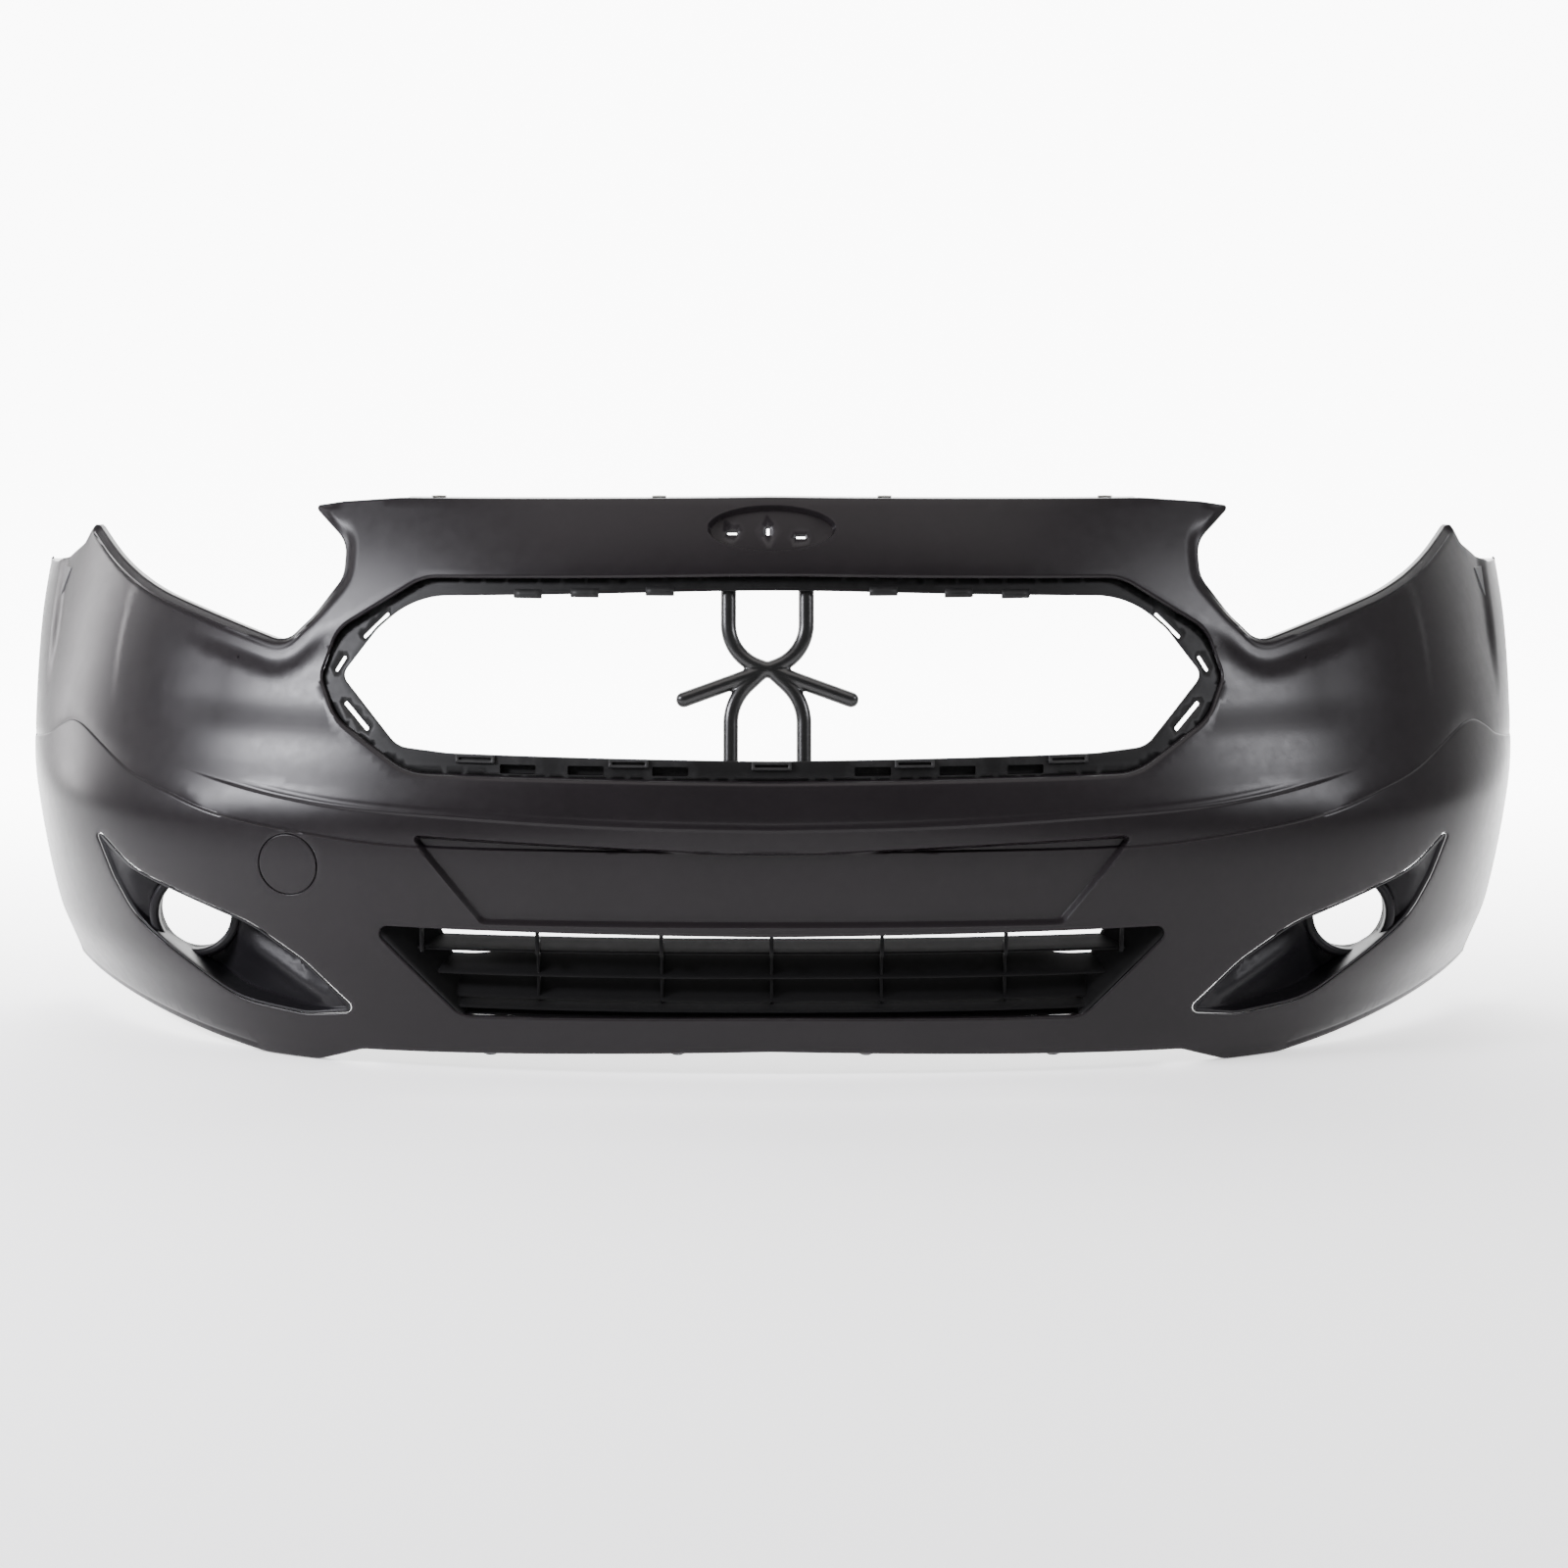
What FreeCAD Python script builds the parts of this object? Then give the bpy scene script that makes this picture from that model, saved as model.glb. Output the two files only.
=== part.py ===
import FreeCAD, Part
import Sketcher
import math
import os

from FreeCAD import Placement, Rotation, Vector

# Front bumper cover of a small van: one moulded skin that carries a lower grille, two fog lamp
# bezels with their lamp carriers, a towing eye cap, a centre brace and the fixings.
#
# Frame: +Z up, -Y to the front of the van, +X to the van's left.  The shapes are laid out in a
# "nose frame", whose y counts back from the foremost point of the skin, and every sub-part's
# Placement then moves it by half the overall depth, so that the origin is the middle of the
# footprint at the level of the lowest edge.

document = FreeCAD.newDocument("BumperCover")

# ---------------------------------------------------------------- driving dimensions (mm)

DIMENSIONS = [
    ("half_depth", 312.7, "half of the overall depth, nose to rear corner of the wing"),
    ("skin_wall", 3.0, "wall of the moulded skin"),
    ("root_depth", 1.5, "where flanges, walls and bosses start inside the skin's wall"),
    ("flange_wall", 3.6, "wall of the bolting flanges"),
    ("edge_return", 12.0, "depth of the turned-in edge round the outline and the openings"),
    ("arch_centre_back", 900.0, "wheel arch circle: distance of its axis behind the nose"),
    ("arch_centre_height", 177.0, "wheel arch circle: height of its axis"),
    ("arch_radius", 430.0, "wheel arch circle: radius"),
    ("arch_flange_width", 24.0, "width of the wheel arch flange"),
    ("grille_rim_depth", 12.0, "how far the inner rim of the upper opening lies behind the skin"),
    ("top_flange_width", 30.0, "bolting flange along the top edge"),
    ("top_flange_reach", 395.0, "half length of the top bolting flange"),
    ("top_hole_radius", 4.0, "bolt holes of the top flange"),
    ("top_hole_inner", 120.0, "inner bolt holes, distance from the middle"),
    ("top_hole_outer", 360.0, "outer bolt holes, distance from the middle"),
    ("top_hole_setback", 17.0, "bolt holes, distance behind the skin"),
    ("clip_bolt_radius", 3.2, "bolt hole of a clip nut"),
    ("bottom_flange_width", 32.0, "undertray flange along the bottom edge"),
    ("bottom_flange_reach", 418.0, "half length of the undertray flange"),
    ("rivet_hole_radius", 4.2, "undertray rivet holes"),
    ("rivet_setback", 19.0, "undertray rivets, distance behind the skin"),
    ("rivet_sleeve_radius", 4.0, "expanding sleeve of an undertray rivet"),
    ("rivet_sleeve_length", 11.0, "length of that sleeve above its head"),
    ("rivet_head_radius", 9.0, "head of the sleeve"),
    ("rivet_head_height", 1.8, "height of that head"),
    ("rivet_bore_radius", 2.6, "bore of the sleeve"),
    ("rivet_pin_radius", 2.5, "shank of the centre pin"),
    ("rivet_pin_length", 12.0, "length of that shank"),
    ("rivet_pin_head_radius", 5.5, "head of the centre pin"),
    ("rivet_pin_head_height", 1.6, "height of that head"),
    ("badge_half_width", 68.0, "plain oval recess in the upper beam"),
    ("badge_half_height", 23.5, "the same, vertical"),
    ("badge_height", 575.5, "its middle, height"),
    ("badge_depth", 8.0, "its depth"),
    ("plate_depth", 9.0, "depth of the number plate recess"),
    ("rim_slot_width", 38.0, "clip slots along the bottom of the grille rim"),
    ("tow_offset", 515.0, "towing eye opening: distance from the middle"),
    ("tow_height", 219.0, "its height"),
    ("tow_radius", 33.0, "its radius"),
    ("tow_seat_radius", 27.0, "passage through the seat behind the cap"),
    ("tow_seat_depth", 4.0, "how far that seat lies behind the skin"),
    ("cap_gap", 0.4, "gap round the towing eye cap"),
    ("cap_wall", 2.6, "wall of the cap"),
    ("cap_leg_length", 13.0, "snap legs of the cap"),
    ("lamp_offset", 634.0, "fog lamp axis: distance from the middle"),
    ("lamp_height", 146.0, "fog lamp axis: height"),
    ("lamp_floor_back", 201.0, "floor of the lamp pocket, distance behind the nose"),
    ("lamp_bore_radius", 43.0, "bore of the lamp carrier"),
    ("carrier_radius", 46.7, "outside of the lamp carrier's tube"),
    ("carrier_lip", 3.0, "how far the carrier stands out of the pocket floor"),
    ("carrier_length", 35.0, "length of the carrier's tube"),
    ("carrier_flange_radius", 60.0, "rear flange of the carrier"),
    ("carrier_flange_start", 19.5, "where that flange starts, from the carrier's front end"),
    ("carrier_flange_wall", 3.0, "its thickness"),
    ("carrier_bolt_circle", 54.0, "radius of the circle of lamp bolts"),
    ("carrier_bolt_radius", 2.1, "lamp bolt holes"),
    ("collar_wall", 3.0, "wall of the bezel's collar round the carrier"),
    ("collar_length", 15.0, "length of that collar, from the pocket floor"),
    ("bezel_gap", 0.4, "gap round a lamp bezel and round the lower grille"),
    ("bezel_wall", 2.8, "wall of a lamp bezel"),
    ("grille_start", 3.0, "front edge of the lower grille's cheeks, behind the skin"),
    ("blade_start", 18.0, "front edge of the grille blades, behind the skin"),
    ("blade_end", 45.0, "rear edge of the grille blades, behind the skin"),
    ("blade_wall", 3.0, "thickness of a blade"),
    ("blade_rise", 20.0, "how much a blade climbs to its rear edge"),
    ("top_blade_rise", 8.0, "the same for the top blade, which leaves a slot above it"),
    ("cheek_inward", 50.0, "how far a grille cheek's top runs inward to its rear edge"),
    ("cheek_wall", 2.6, "wall of a grille cheek"),
    ("rib_wall", 3.0, "thickness of a grille rib"),
    ("brace_radius", 8.4, "tubes of the centre brace"),
    ("brace_offset", -4.5, "middle of the brace, sideways"),
    ("brace_half_gap", 41.0, "upper tubes of the brace, distance from its middle"),
    ("brace_lower_half_gap", 38.5, "lower tubes of the brace, distance from its middle"),
    ("brace_crossing", 428.0, "height at which the brace's tubes cross"),
    ("brace_arm_reach", 88.0, "ends of the brace's short arms, distance from its middle"),
    ("brace_arm_drop", 31.0, "how far those ends lie below the crossing"),
    ("screw_radius", 2.0, "shank of a self-tapping screw"),
    ("screw_length", 13.0, "length of that shank"),
    ("screw_head_radius", 4.6, "pan head"),
    ("screw_head_height", 2.6, "height of that head"),
    ("boss_radius", 5.0, "screw bosses on the back of the skin"),
    ("ear_wall", 3.0, "thickness of a screw ear"),
    ("ear_radius", 7.0, "rounded end of a screw ear"),
    ("clip_wall", 0.8, "spring steel of the clip nuts"),
    ("clip_width", 15.0, "width of a clip nut"),
    ("clip_length", 14.0, "length of a clip nut's leaves"),
    ("clip_hole_inset", 7.5, "clip nut: bolt hole, distance from the flange's edge"),
    ("clip_gap", 0.15, "gap between a clip nut and its flange"),
]

sheet = document.addObject("Spreadsheet::Sheet", "Dims")
for row, (alias, value, note) in enumerate(DIMENSIONS, start=1):
    sheet.set("A%d" % row, alias)
    sheet.set("B%d" % row, str(value))
    sheet.set("C%d" % row, note)
    sheet.setAlias("B%d" % row, alias)

# Horizontal sections of the skin.  Each is one cubic curve from the middle of the nose to the
# flank: height, nose setback, half width, flank setback, pull of the curve along the nose, pull
# along the flank, and how far the flank is tucked under.
SECTION_COLUMNS = ("height", "nose", "half_width", "flank", "nose_pull", "flank_pull", "tuck")
SECTION_LEVELS = [
    (-10, 30, 848, 640, 0.89, 0.44, 72),
    (50, 19, 853, 650, 0.87, 0.48, 40),
    (120, 9, 862, 665, 0.83, 0.57, 8),
    (255, 0, 888, 700, 0.68, 0.71, 0),
    (335, 18, 899, 720, 0.60, 0.67, 0),
    (440, 44, 898, 740, 0.58, 0.57, 0),
    (540, 76, 880, 760, 0.55, 0.52, 0),
    (640, 127, 860, 780, 0.52, 0.51, 0),
]

section_sheet = document.addObject("Spreadsheet::Sheet", "Sections")
for level, values in enumerate(SECTION_LEVELS, start=1):
    for column, value in enumerate(values):
        cell = "%s%d" % ("ABCDEFG"[column], level)
        section_sheet.set(cell, str(value))
        section_sheet.setAlias(cell, "%s_%d" % (SECTION_COLUMNS[column], level))
document.recompute()


def dim(alias):
    return float(sheet.get(alias))


LEVELS = [
    [float(section_sheet.get("%s_%d" % (column, level))) for column in SECTION_COLUMNS]
    for level in range(1, len(SECTION_LEVELS) + 1)
]
WALL = dim("skin_wall")
FLANGE_WALL = dim("flange_wall")
ROOT = dim("root_depth")
IN_NOSE_FRAME = Placement(Vector(0, -dim("half_depth"), 0), Rotation())
LEFT, RIGHT = 1, -1
SIDES = {"left": LEFT, "right": RIGHT}

# ---------------------------------------------------------------- outlines in the front view
# Points of the van's left half from the top middle round to the bottom middle, each with its
# corner radius: (distance from the middle, height, radius).

OUTER_EDGE = [
    (0, 608, 3000), (400, 603, 300), (506, 594, 4),
    (463, 556, 30), (465, 519, 28), (528, 449, 24), (722, 505, 300), (791, 558, 4),
    (806, 534, 15), (850, 506, 25), (960, 502, 0),
    (960, 72, 0), (754, 35, 200), (620, 11, 150), (552, 0, 60), (490, 0, 25),
    (440, 16.5, 30), (0, 26, 3000),
]
UPPER_OPENING = [
    (0, 526, 3000), (372, 519, 60), (466, 462, 45), (484, 414, 22), (466, 372, 45),
    (385, 319, 70), (0, 315.5, 3000),
]
UPPER_RIM = [
    (0, 513, 3000), (382, 501, 30), (424, 465, 60), (463, 415, 12), (398, 343, 30),
    (343, 338, 100), (0, 334, 3000),
]
PLATE_RECESS = [(0, 241, 3000), (383, 257, 5), (306, 163, 10), (0, 163, 0)]
LOWER_OPENING = [(0, 152.5, 3000), (427, 157.5, 8), (330, 61, 34), (0, 64, 3000)]
LAMP_POCKET = [
    (754, 238, 4), (700, 197, 120), (560, 153, 160), (500, 115, 120), (441, 59, 7),
    (500, 52, 60), (580, 61, 110), (700, 139, 120), (728, 183, 70),
]


def both_halves(half):
    other = [(-x, z, radius) for x, z, radius in reversed(half) if x]
    return half + other


def one_side(outline, side):
    return [(side * x, z, radius) for x, z, radius in outline]


def rounded_wire(outline, ahead=-100.0):
    """Closed wire in the front view plane y = ahead, with an arc at every rounded corner."""
    corners = []
    count = len(outline)
    for index, (x, z, radius) in enumerate(outline):
        corner = Vector(x, ahead, z)
        before = outline[index - 1]
        after = outline[(index + 1) % count]
        arriving = (corner - Vector(before[0], ahead, before[1])).normalize()
        leaving = (Vector(after[0], ahead, after[1]) - corner).normalize()
        turn = arriving.getAngle(leaving)
        if radius == 0 or turn < 1e-4:
            corners.append((corner, None, corner))
            continue
        reach = radius * math.tan(turn / 2)
        inward = (leaving - arriving).normalize()
        centre = corner + inward * (radius / math.cos(turn / 2))
        corners.append((corner - arriving * reach, centre - inward * radius, corner + leaving * reach))
    edges = []
    for index, (start, middle, end) in enumerate(corners):
        if middle is not None:
            edges.append(Part.Arc(start, middle, end).toShape())
        edges.append(Part.LineSegment(end, corners[(index + 1) % count][0]).toShape())
    return Part.Wire(edges)


def prism(wire):
    return Part.Face(wire).extrude(Vector(0, 1000, 0))


def band_outside(wire, width):
    """Frame-shaped prism that runs round the outside of a wire."""
    return prism(wire.makeOffset2D(width)).cut(prism(wire))


def round_bar(radius, x, z, start, length):
    """Cylinder along +Y."""
    return Part.makeCylinder(radius, length, Vector(x, start, z), Vector(0, 1, 0))


def block(low, high):
    size = [high[axis] - low[axis] for axis in range(3)]
    return Part.makeBox(size[0], size[1], size[2], Vector(*low))


# ---------------------------------------------------------------- the skin's surface


def section_at(height):
    """Section values at a height, on a smooth curve through the levels of the sheet."""
    last = len(LEVELS) - 2
    index = min(max(sum(1 for level in LEVELS if level[0] <= height) - 1, 0), last)
    low, high = LEVELS[index], LEVELS[index + 1]
    before, after = LEVELS[max(index - 1, 0)], LEVELS[min(index + 2, last + 1)]
    step = high[0] - low[0]
    t = (height - low[0]) / step
    values = []
    for column in range(1, len(SECTION_COLUMNS)):
        slope_low = (high[column] - before[column]) / (high[0] - before[0]) * step
        slope_high = (after[column] - low[column]) / (after[0] - low[0]) * step
        values.append(
            (2 * t**3 - 3 * t**2 + 1) * low[column]
            + (t**3 - 2 * t**2 + t) * slope_low
            + (3 * t**2 - 2 * t**3) * high[column]
            + (t**3 - t**2) * slope_high
        )
    return values


def outer_point(along, height):
    """Point of the outer face.  along runs from 0 at the middle of the nose to 1 on the flank."""
    nose, half_width, flank, nose_pull, flank_pull, tuck = section_at(height)
    b1 = 3 * (1 - along) ** 2 * along
    b2 = 3 * (1 - along) * along**2
    b3 = along**3
    tuck_share = along**3 * (1 - along) ** 2 / 0.03456
    x = (b1 * nose_pull + b2 + b3) * half_width - tuck * tuck_share
    y = nose + (b2 * (1 - flank_pull) + b3) * (flank - nose)
    return Vector(x, y, height)


def skin_point(along, height, depth=0.0):
    """Point at a depth behind the outer face.  A negative along is the van's right half."""
    share = abs(along)
    point = outer_point(share, height)
    if depth:
        step = 1e-3
        across = outer_point(min(share + step, 1), height) - outer_point(max(share - step, 0), height)
        upward = outer_point(share, height + 1) - outer_point(share, height - 1)
        inward = upward.cross(across).normalize()
        point = point + inward * depth
    return Vector(math.copysign(point.x, along), point.y, point.z)


def share_at(x, height):
    low, high = 0.0, 1.0
    for _ in range(40):
        middle = (low + high) / 2
        if outer_point(middle, height).x < abs(x):
            low = middle
        else:
            high = middle
    return (low + high) / 2


def skin_y(x, height):
    """Setback of the outer face at a place in the front view."""
    return outer_point(share_at(x, height), height).y


def solid_between(rows_front, rows_back):
    """Solid between two smooth faces, each through a grid of points."""
    faces = []
    for rows in (rows_front, rows_back):
        surface = Part.BSplineSurface()
        surface.interpolate(rows)
        faces.append(surface.toShape())
    for edge_front, edge_back in zip(faces[0].Edges, faces[1].Edges):
        faces.append(Part.makeRuledSurface(edge_front, edge_back))
    shell = Part.Shell(faces)
    shell.sewShape()
    solid = Part.Solid(shell)
    if solid.Volume < 0:
        solid.reverse()
    return solid


AHEAD = -6.0  # a depth well in front of the skin, for cutting tools
SLABS = {}
LOWEST_ROW, HIGHEST_ROW, ROWS, HALF_COLUMNS = -8.0, 632.0, 21, 24


def slab(near, far):
    """The layer of space from one depth behind the outer face to another."""
    if (near, far) not in SLABS:
        heights = [LOWEST_ROW + row * (HIGHEST_ROW - LOWEST_ROW) / (ROWS - 1) for row in range(ROWS)]
        shares = [column / HALF_COLUMNS for column in range(-HALF_COLUMNS, HALF_COLUMNS + 1)]
        grids = [
            [[skin_point(share, height, depth) for share in shares] for height in heights]
            for depth in (near, far)
        ]
        SLABS[(near, far)] = solid_between(*grids)
    return SLABS[(near, far)]


def front_view_solid(front, back, x_range, z_range, columns=20, rows=14):
    """Solid between the faces y = front(x, z) and y = back(x, z) over a front view rectangle."""
    xs = [x_range[0] + (x_range[1] - x_range[0]) * column / columns for column in range(columns + 1)]
    zs = [z_range[0] + (z_range[1] - z_range[0]) * row / rows for row in range(rows + 1)]
    grids = [[[Vector(x, setback(x, z), z) for x in xs] for z in zs] for setback in (front, back)]
    return solid_between(*grids)


# ---------------------------------------------------------------- fixings: places and shapes

BEZEL_SCREWS = [(545, 170, -1), (600, 57, 1), (688, 217, -1)]  # x, height, way to the pocket
GRILLE_SCREWS = [(110, 46), (290, 46)]
BRACKET_SCREWS = [(520, 428), (580, 428)]
RIVET_PLACES = (-300, -100, 100, 300)
ARCH_CLIP_ANGLES = (143, 163, 183)
RIM_SLOTS = (106, 195, 267)
RIM_SLOT_HEIGHTS = (320, 329.5)
BADGE_SLOTS = ((-42, 573, 5, 1.5), (31, 569, 5, 1.5), (-4, 575, 1.5, 4))  # x, height, half sizes
GUIDE_PEGS = ((530, 482), (575, 494))  # setback, height
PEG_HALF_LENGTH, PEG_HALF_HEIGHT, PEG_ROOM = 8.0, 3.0, 0.4
BEZEL_BOSS, GRILLE_BOSS, BRACKET_BOSS = 25.0, 38.0, 14.0
HEADLAMP_SHELF = (508, 592)

outer_wire = rounded_wire(both_halves(OUTER_EDGE))
upper_wire = rounded_wire(both_halves(UPPER_OPENING))
rim_wire = rounded_wire(both_halves(UPPER_RIM))
lower_wire = rounded_wire(both_halves(LOWER_OPENING))
plate_wire = rounded_wire(both_halves(PLATE_RECESS))


def arch_cylinder(radius):
    centre = Vector(-1000, dim("arch_centre_back"), dim("arch_centre_height"))
    return Part.makeCylinder(radius, 2000, centre, Vector(1, 0, 0))


def screw_places():
    """Every self-tapping screw: group, side, x, height and setback of the face under its head."""
    places = []
    for side in SIDES.values():
        for x, z, _ in BEZEL_SCREWS:
            places.append(("fog_bezel", side, side * x, z, skin_y(x, z) + BEZEL_BOSS))
        for x, z in GRILLE_SCREWS:
            places.append(("lower_grille", side, side * x, z, skin_y(x, z) + GRILLE_BOSS))
        for x, z in BRACKET_SCREWS:
            places.append(("headlamp_bracket", side, side * x, z, skin_y(x, z) + BRACKET_BOSS))
    return places


SCREWS = screw_places()


def lower_edge(x):
    """Height of the bottom edge near the middle."""
    middle, end = OUTER_EDGE[-1], OUTER_EDGE[-2]
    return middle[1] + (end[1] - middle[1]) * abs(x) / end[0]


def upper_edge(x):
    """Height of the top edge near the middle."""
    middle, end = OUTER_EDGE[0], OUTER_EDGE[1]
    return middle[1] + (end[1] - middle[1]) * abs(x) / end[0]


def top_bolt_places():
    distances = (-dim("top_hole_outer"), -dim("top_hole_inner"), dim("top_hole_inner"), dim("top_hole_outer"))
    return [(x, skin_y(x, upper_edge(x)) + dim("top_hole_setback")) for x in distances]


def rivet_places():
    return [(x, skin_y(x, lower_edge(x)) + dim("rivet_setback")) for x in RIVET_PLACES]


# ---------------------------------------------------------------- the skin


def recess_pan(wire, wide_wire, depth, wall):
    """Sunken panel: a floor at a depth and a wall round it."""
    outside = slab(ROOT, depth + wall).common(prism(wide_wire))
    return outside.cut(slab(AHEAD, depth).common(prism(wire)))


def badge_wire(grown):
    """Oval of the badge recess, made larger by a margin."""
    middle = Vector(0, -100, dim("badge_height"))
    end = middle + Vector(dim("badge_half_width") + grown, 0, 0)
    top = middle + Vector(0, 0, dim("badge_half_height") + grown)
    return Part.Wire([Part.Ellipse(end, top, middle).toShape()])


def edge_flange(shift, width, reach):
    """Flange that follows the top or bottom edge: what is left of the outline's inside when it
    is shifted down or up by the flange's wall."""
    shifted = outer_wire.copy()
    shifted.translate(Vector(0, 0, shift))
    middle_zone = block((-reach, -100, -20), (reach, 400, 640))
    return slab(ROOT, width).common(prism(outer_wire).cut(prism(shifted))).common(middle_zone)


def upper_rim():
    """Recessed rim of the upper opening, with the slots that a grille's clips go into."""
    depth = dim("grille_rim_depth")
    outside = slab(ROOT, depth + WALL).common(prism(upper_wire.makeOffset2D(WALL)))
    rim = outside.cut(slab(AHEAD, depth).common(prism(upper_wire))).cut(prism(rim_wire))
    slots = []
    half, (low, high) = dim("rim_slot_width") / 2, RIM_SLOT_HEIGHTS
    for side in SIDES.values():
        for x in RIM_SLOTS:
            slots.append(block((side * x - half, 0, low), (side * x + half, 200, high)))
    return rim.cut(Part.makeCompound(slots))


def tow_socket():
    """Tube and seat behind the towing eye opening, on the van's right."""
    x, z = -dim("tow_offset"), dim("tow_height")
    opening, seat = dim("tow_radius"), dim("tow_seat_radius")
    tube = round_bar(opening + 2.5, x, z, -50, 400).cut(round_bar(opening, x, z, -50, 400))
    ring = round_bar(opening + 1, x, z, -50, 400).cut(round_bar(seat, x, z, -50, 400))
    depth = dim("tow_seat_depth")
    return slab(ROOT, 16).common(tube).fuse(slab(depth, depth + WALL).common(ring))


def boss(x, z, back):
    """Screw boss along Y on the back of the skin, with its pilot hole."""
    post = round_bar(dim("boss_radius"), x, z, -50, back + 50)
    return post.common(slab(ROOT, 60))


def cover_skin():
    shell = slab(0, WALL).common(prism(outer_wire))
    pocket_wires = [rounded_wire(one_side(LAMP_POCKET, side)) for side in SIDES.values()]
    tow_hole = round_bar(dim("tow_radius"), -dim("tow_offset"), dim("tow_height"), -50, 400)
    holes = [prism(wire) for wire in [upper_wire, lower_wire, plate_wire, badge_wire(0)] + pocket_wires]
    shell = shell.cut(Part.makeCompound(holes + [tow_hole]))

    back_of_edge = dim("edge_return")
    edge_zone = slab(ROOT, back_of_edge)
    additions = [
        edge_zone.common(prism(outer_wire).cut(prism(outer_wire.makeOffset2D(-WALL)))),
        edge_flange(-FLANGE_WALL, dim("top_flange_width"), dim("top_flange_reach")),
        edge_flange(FLANGE_WALL, dim("bottom_flange_width"), dim("bottom_flange_reach")),
        upper_rim(),
        recess_pan(badge_wire(0), badge_wire(2.5), dim("badge_depth"), 2.5),
        recess_pan(plate_wire, plate_wire.makeOffset2D(WALL), dim("plate_depth"), WALL),
        edge_zone.common(band_outside(lower_wire, WALL)),
        tow_socket(),
    ]
    additions += [edge_zone.common(band_outside(wire, WALL)) for wire in pocket_wires]
    arch_band = arch_cylinder(dim("arch_radius") + WALL).cut(arch_cylinder(dim("arch_radius")))
    additions.append(slab(ROOT, dim("arch_flange_width")).common(arch_band).common(prism(outer_wire)))
    additions += [boss(x, z, back) for _, _, x, z, back in SCREWS]
    for side in SIDES.values():
        additions += [guide_peg(side, y, z) for y, z in GUIDE_PEGS]
    skin = shell
    for addition in additions:
        skin = skin.fuse(addition)

    cutters = [arch_cylinder(dim("arch_radius"))]
    badge_floor = dim("badge_depth") + skin_y(0, dim("badge_height"))
    for x, z, half_width, half_height in BADGE_SLOTS:
        low = (x - half_width, badge_floor - 15, z - half_height)
        cutters.append(block(low, (x + half_width, badge_floor + 15, z + half_height)))
    for x, y in top_bolt_places():
        cutters.append(Part.makeCylinder(dim("top_hole_radius"), 40, Vector(x, y, 585)))
        cutters.append(clip_notch(top_clip_frame(x, y)))
    for x, y in rivet_places():
        cutters.append(Part.makeCylinder(dim("rivet_hole_radius"), 40, Vector(x, y, 0)))
    for _, _, x, z, back in SCREWS:
        cutters.append(round_bar(dim("screw_radius"), x, z, back - dim("screw_length") - 1, 40))
    for side in SIDES.values():
        for angle in ARCH_CLIP_ANGLES:
            cutters += [arch_bolt_hole(side, angle), clip_notch(arch_clip_frame(side, angle))]
    return skin.cut(cutters)


# ---------------------------------------------------------------- wing guides and wheel arch clips

GUIDE_SPAN = (505.0, 600.0)
GUIDE_HEIGHTS = (468.0, 502.0)
GUIDE_NEAR, GUIDE_FAR = 3.2, 7.2


def across_wing(side, y, height, room=0.0):
    """Bar across the van at a guide peg, larger than the peg by some room."""
    long, high = PEG_HALF_LENGTH + room, PEG_HALF_HEIGHT + room
    inner, outer = sorted((0, side * 1000))
    return block((inner, y - long, height - high), (outer, y + long, height + high))


def guide_peg(side, y, height):
    """Peg inside the wing that a wing guide hooks on."""
    return slab(ROOT, 9.0).common(across_wing(side, y, height))


def wing_guide(side):
    """Rail behind the wing's top edge that slides into the body side."""
    low, high = GUIDE_HEIGHTS
    start, end = GUIDE_SPAN
    zone = block((0, start, low), (1000, end, high))
    rail = slab(GUIDE_NEAR, GUIDE_FAR).common(zone)
    lip = slab(GUIDE_NEAR, 18.0).common(block((0, start, high - 3), (1000, end, high)))
    rail = rail.fuse(lip).cut(arch_cylinder(dim("arch_radius") + WALL + 1))
    for y, height in GUIDE_PEGS:
        rail = rail.cut(across_wing(LEFT, y, height, PEG_ROOM))
    return rail if side == LEFT else rail.mirror(Vector(), Vector(1, 0, 0))


def arch_clip_frame(side, angle):
    """Placement on the arch flange: local x across the van to the skin, local z to the arch axis."""
    radius = dim("arch_radius") + WALL
    radians = math.radians(angle)
    y = dim("arch_centre_back") + radius * math.cos(radians)
    z = dim("arch_centre_height") + radius * math.sin(radians)
    to_axis = Vector(0, -math.cos(radians), -math.sin(radians))
    outward = Vector(side, 0, 0)
    rotation = Rotation(outward, to_axis.cross(outward), to_axis, "ZXY")
    flank = outer_point(share_for_setback(y, z), z).x
    return Placement(Vector(side * (flank - dim("arch_flange_width")), y, z), rotation)


def top_clip_frame(x, y):
    """A clip nut on the top flange: local x points forward, local z up."""
    underside = upper_edge(x) - FLANGE_WALL
    return Placement(Vector(x, y + dim("clip_hole_inset"), underside), Rotation(Vector(0, 0, 1), -90))


def share_for_setback(y, height):
    low, high = 0.0, 1.0
    for _ in range(40):
        middle = (low + high) / 2
        if outer_point(middle, height).y < y:
            low = middle
        else:
            high = middle
    return low


def clip_notch(frame):
    """Room in a flange's edge for the bend of a clip nut."""
    notch = block((-40, -dim("clip_width") / 2 - 0.5, -6), (0.2, dim("clip_width") / 2 + 0.5, 10))
    notch.Placement = frame
    return notch


def arch_bolt_hole(side, angle):
    hole = Part.makeCylinder(dim("top_hole_radius"), 20, Vector(dim("clip_hole_inset"), 0, -10))
    hole.Placement = arch_clip_frame(side, angle)
    return hole


# ---------------------------------------------------------------- bezels, grille, brace, brackets


def smooth_max(a, b, softness=8.0):
    return (a + b + math.sqrt((a - b) ** 2 + softness**2)) / 2


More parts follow.
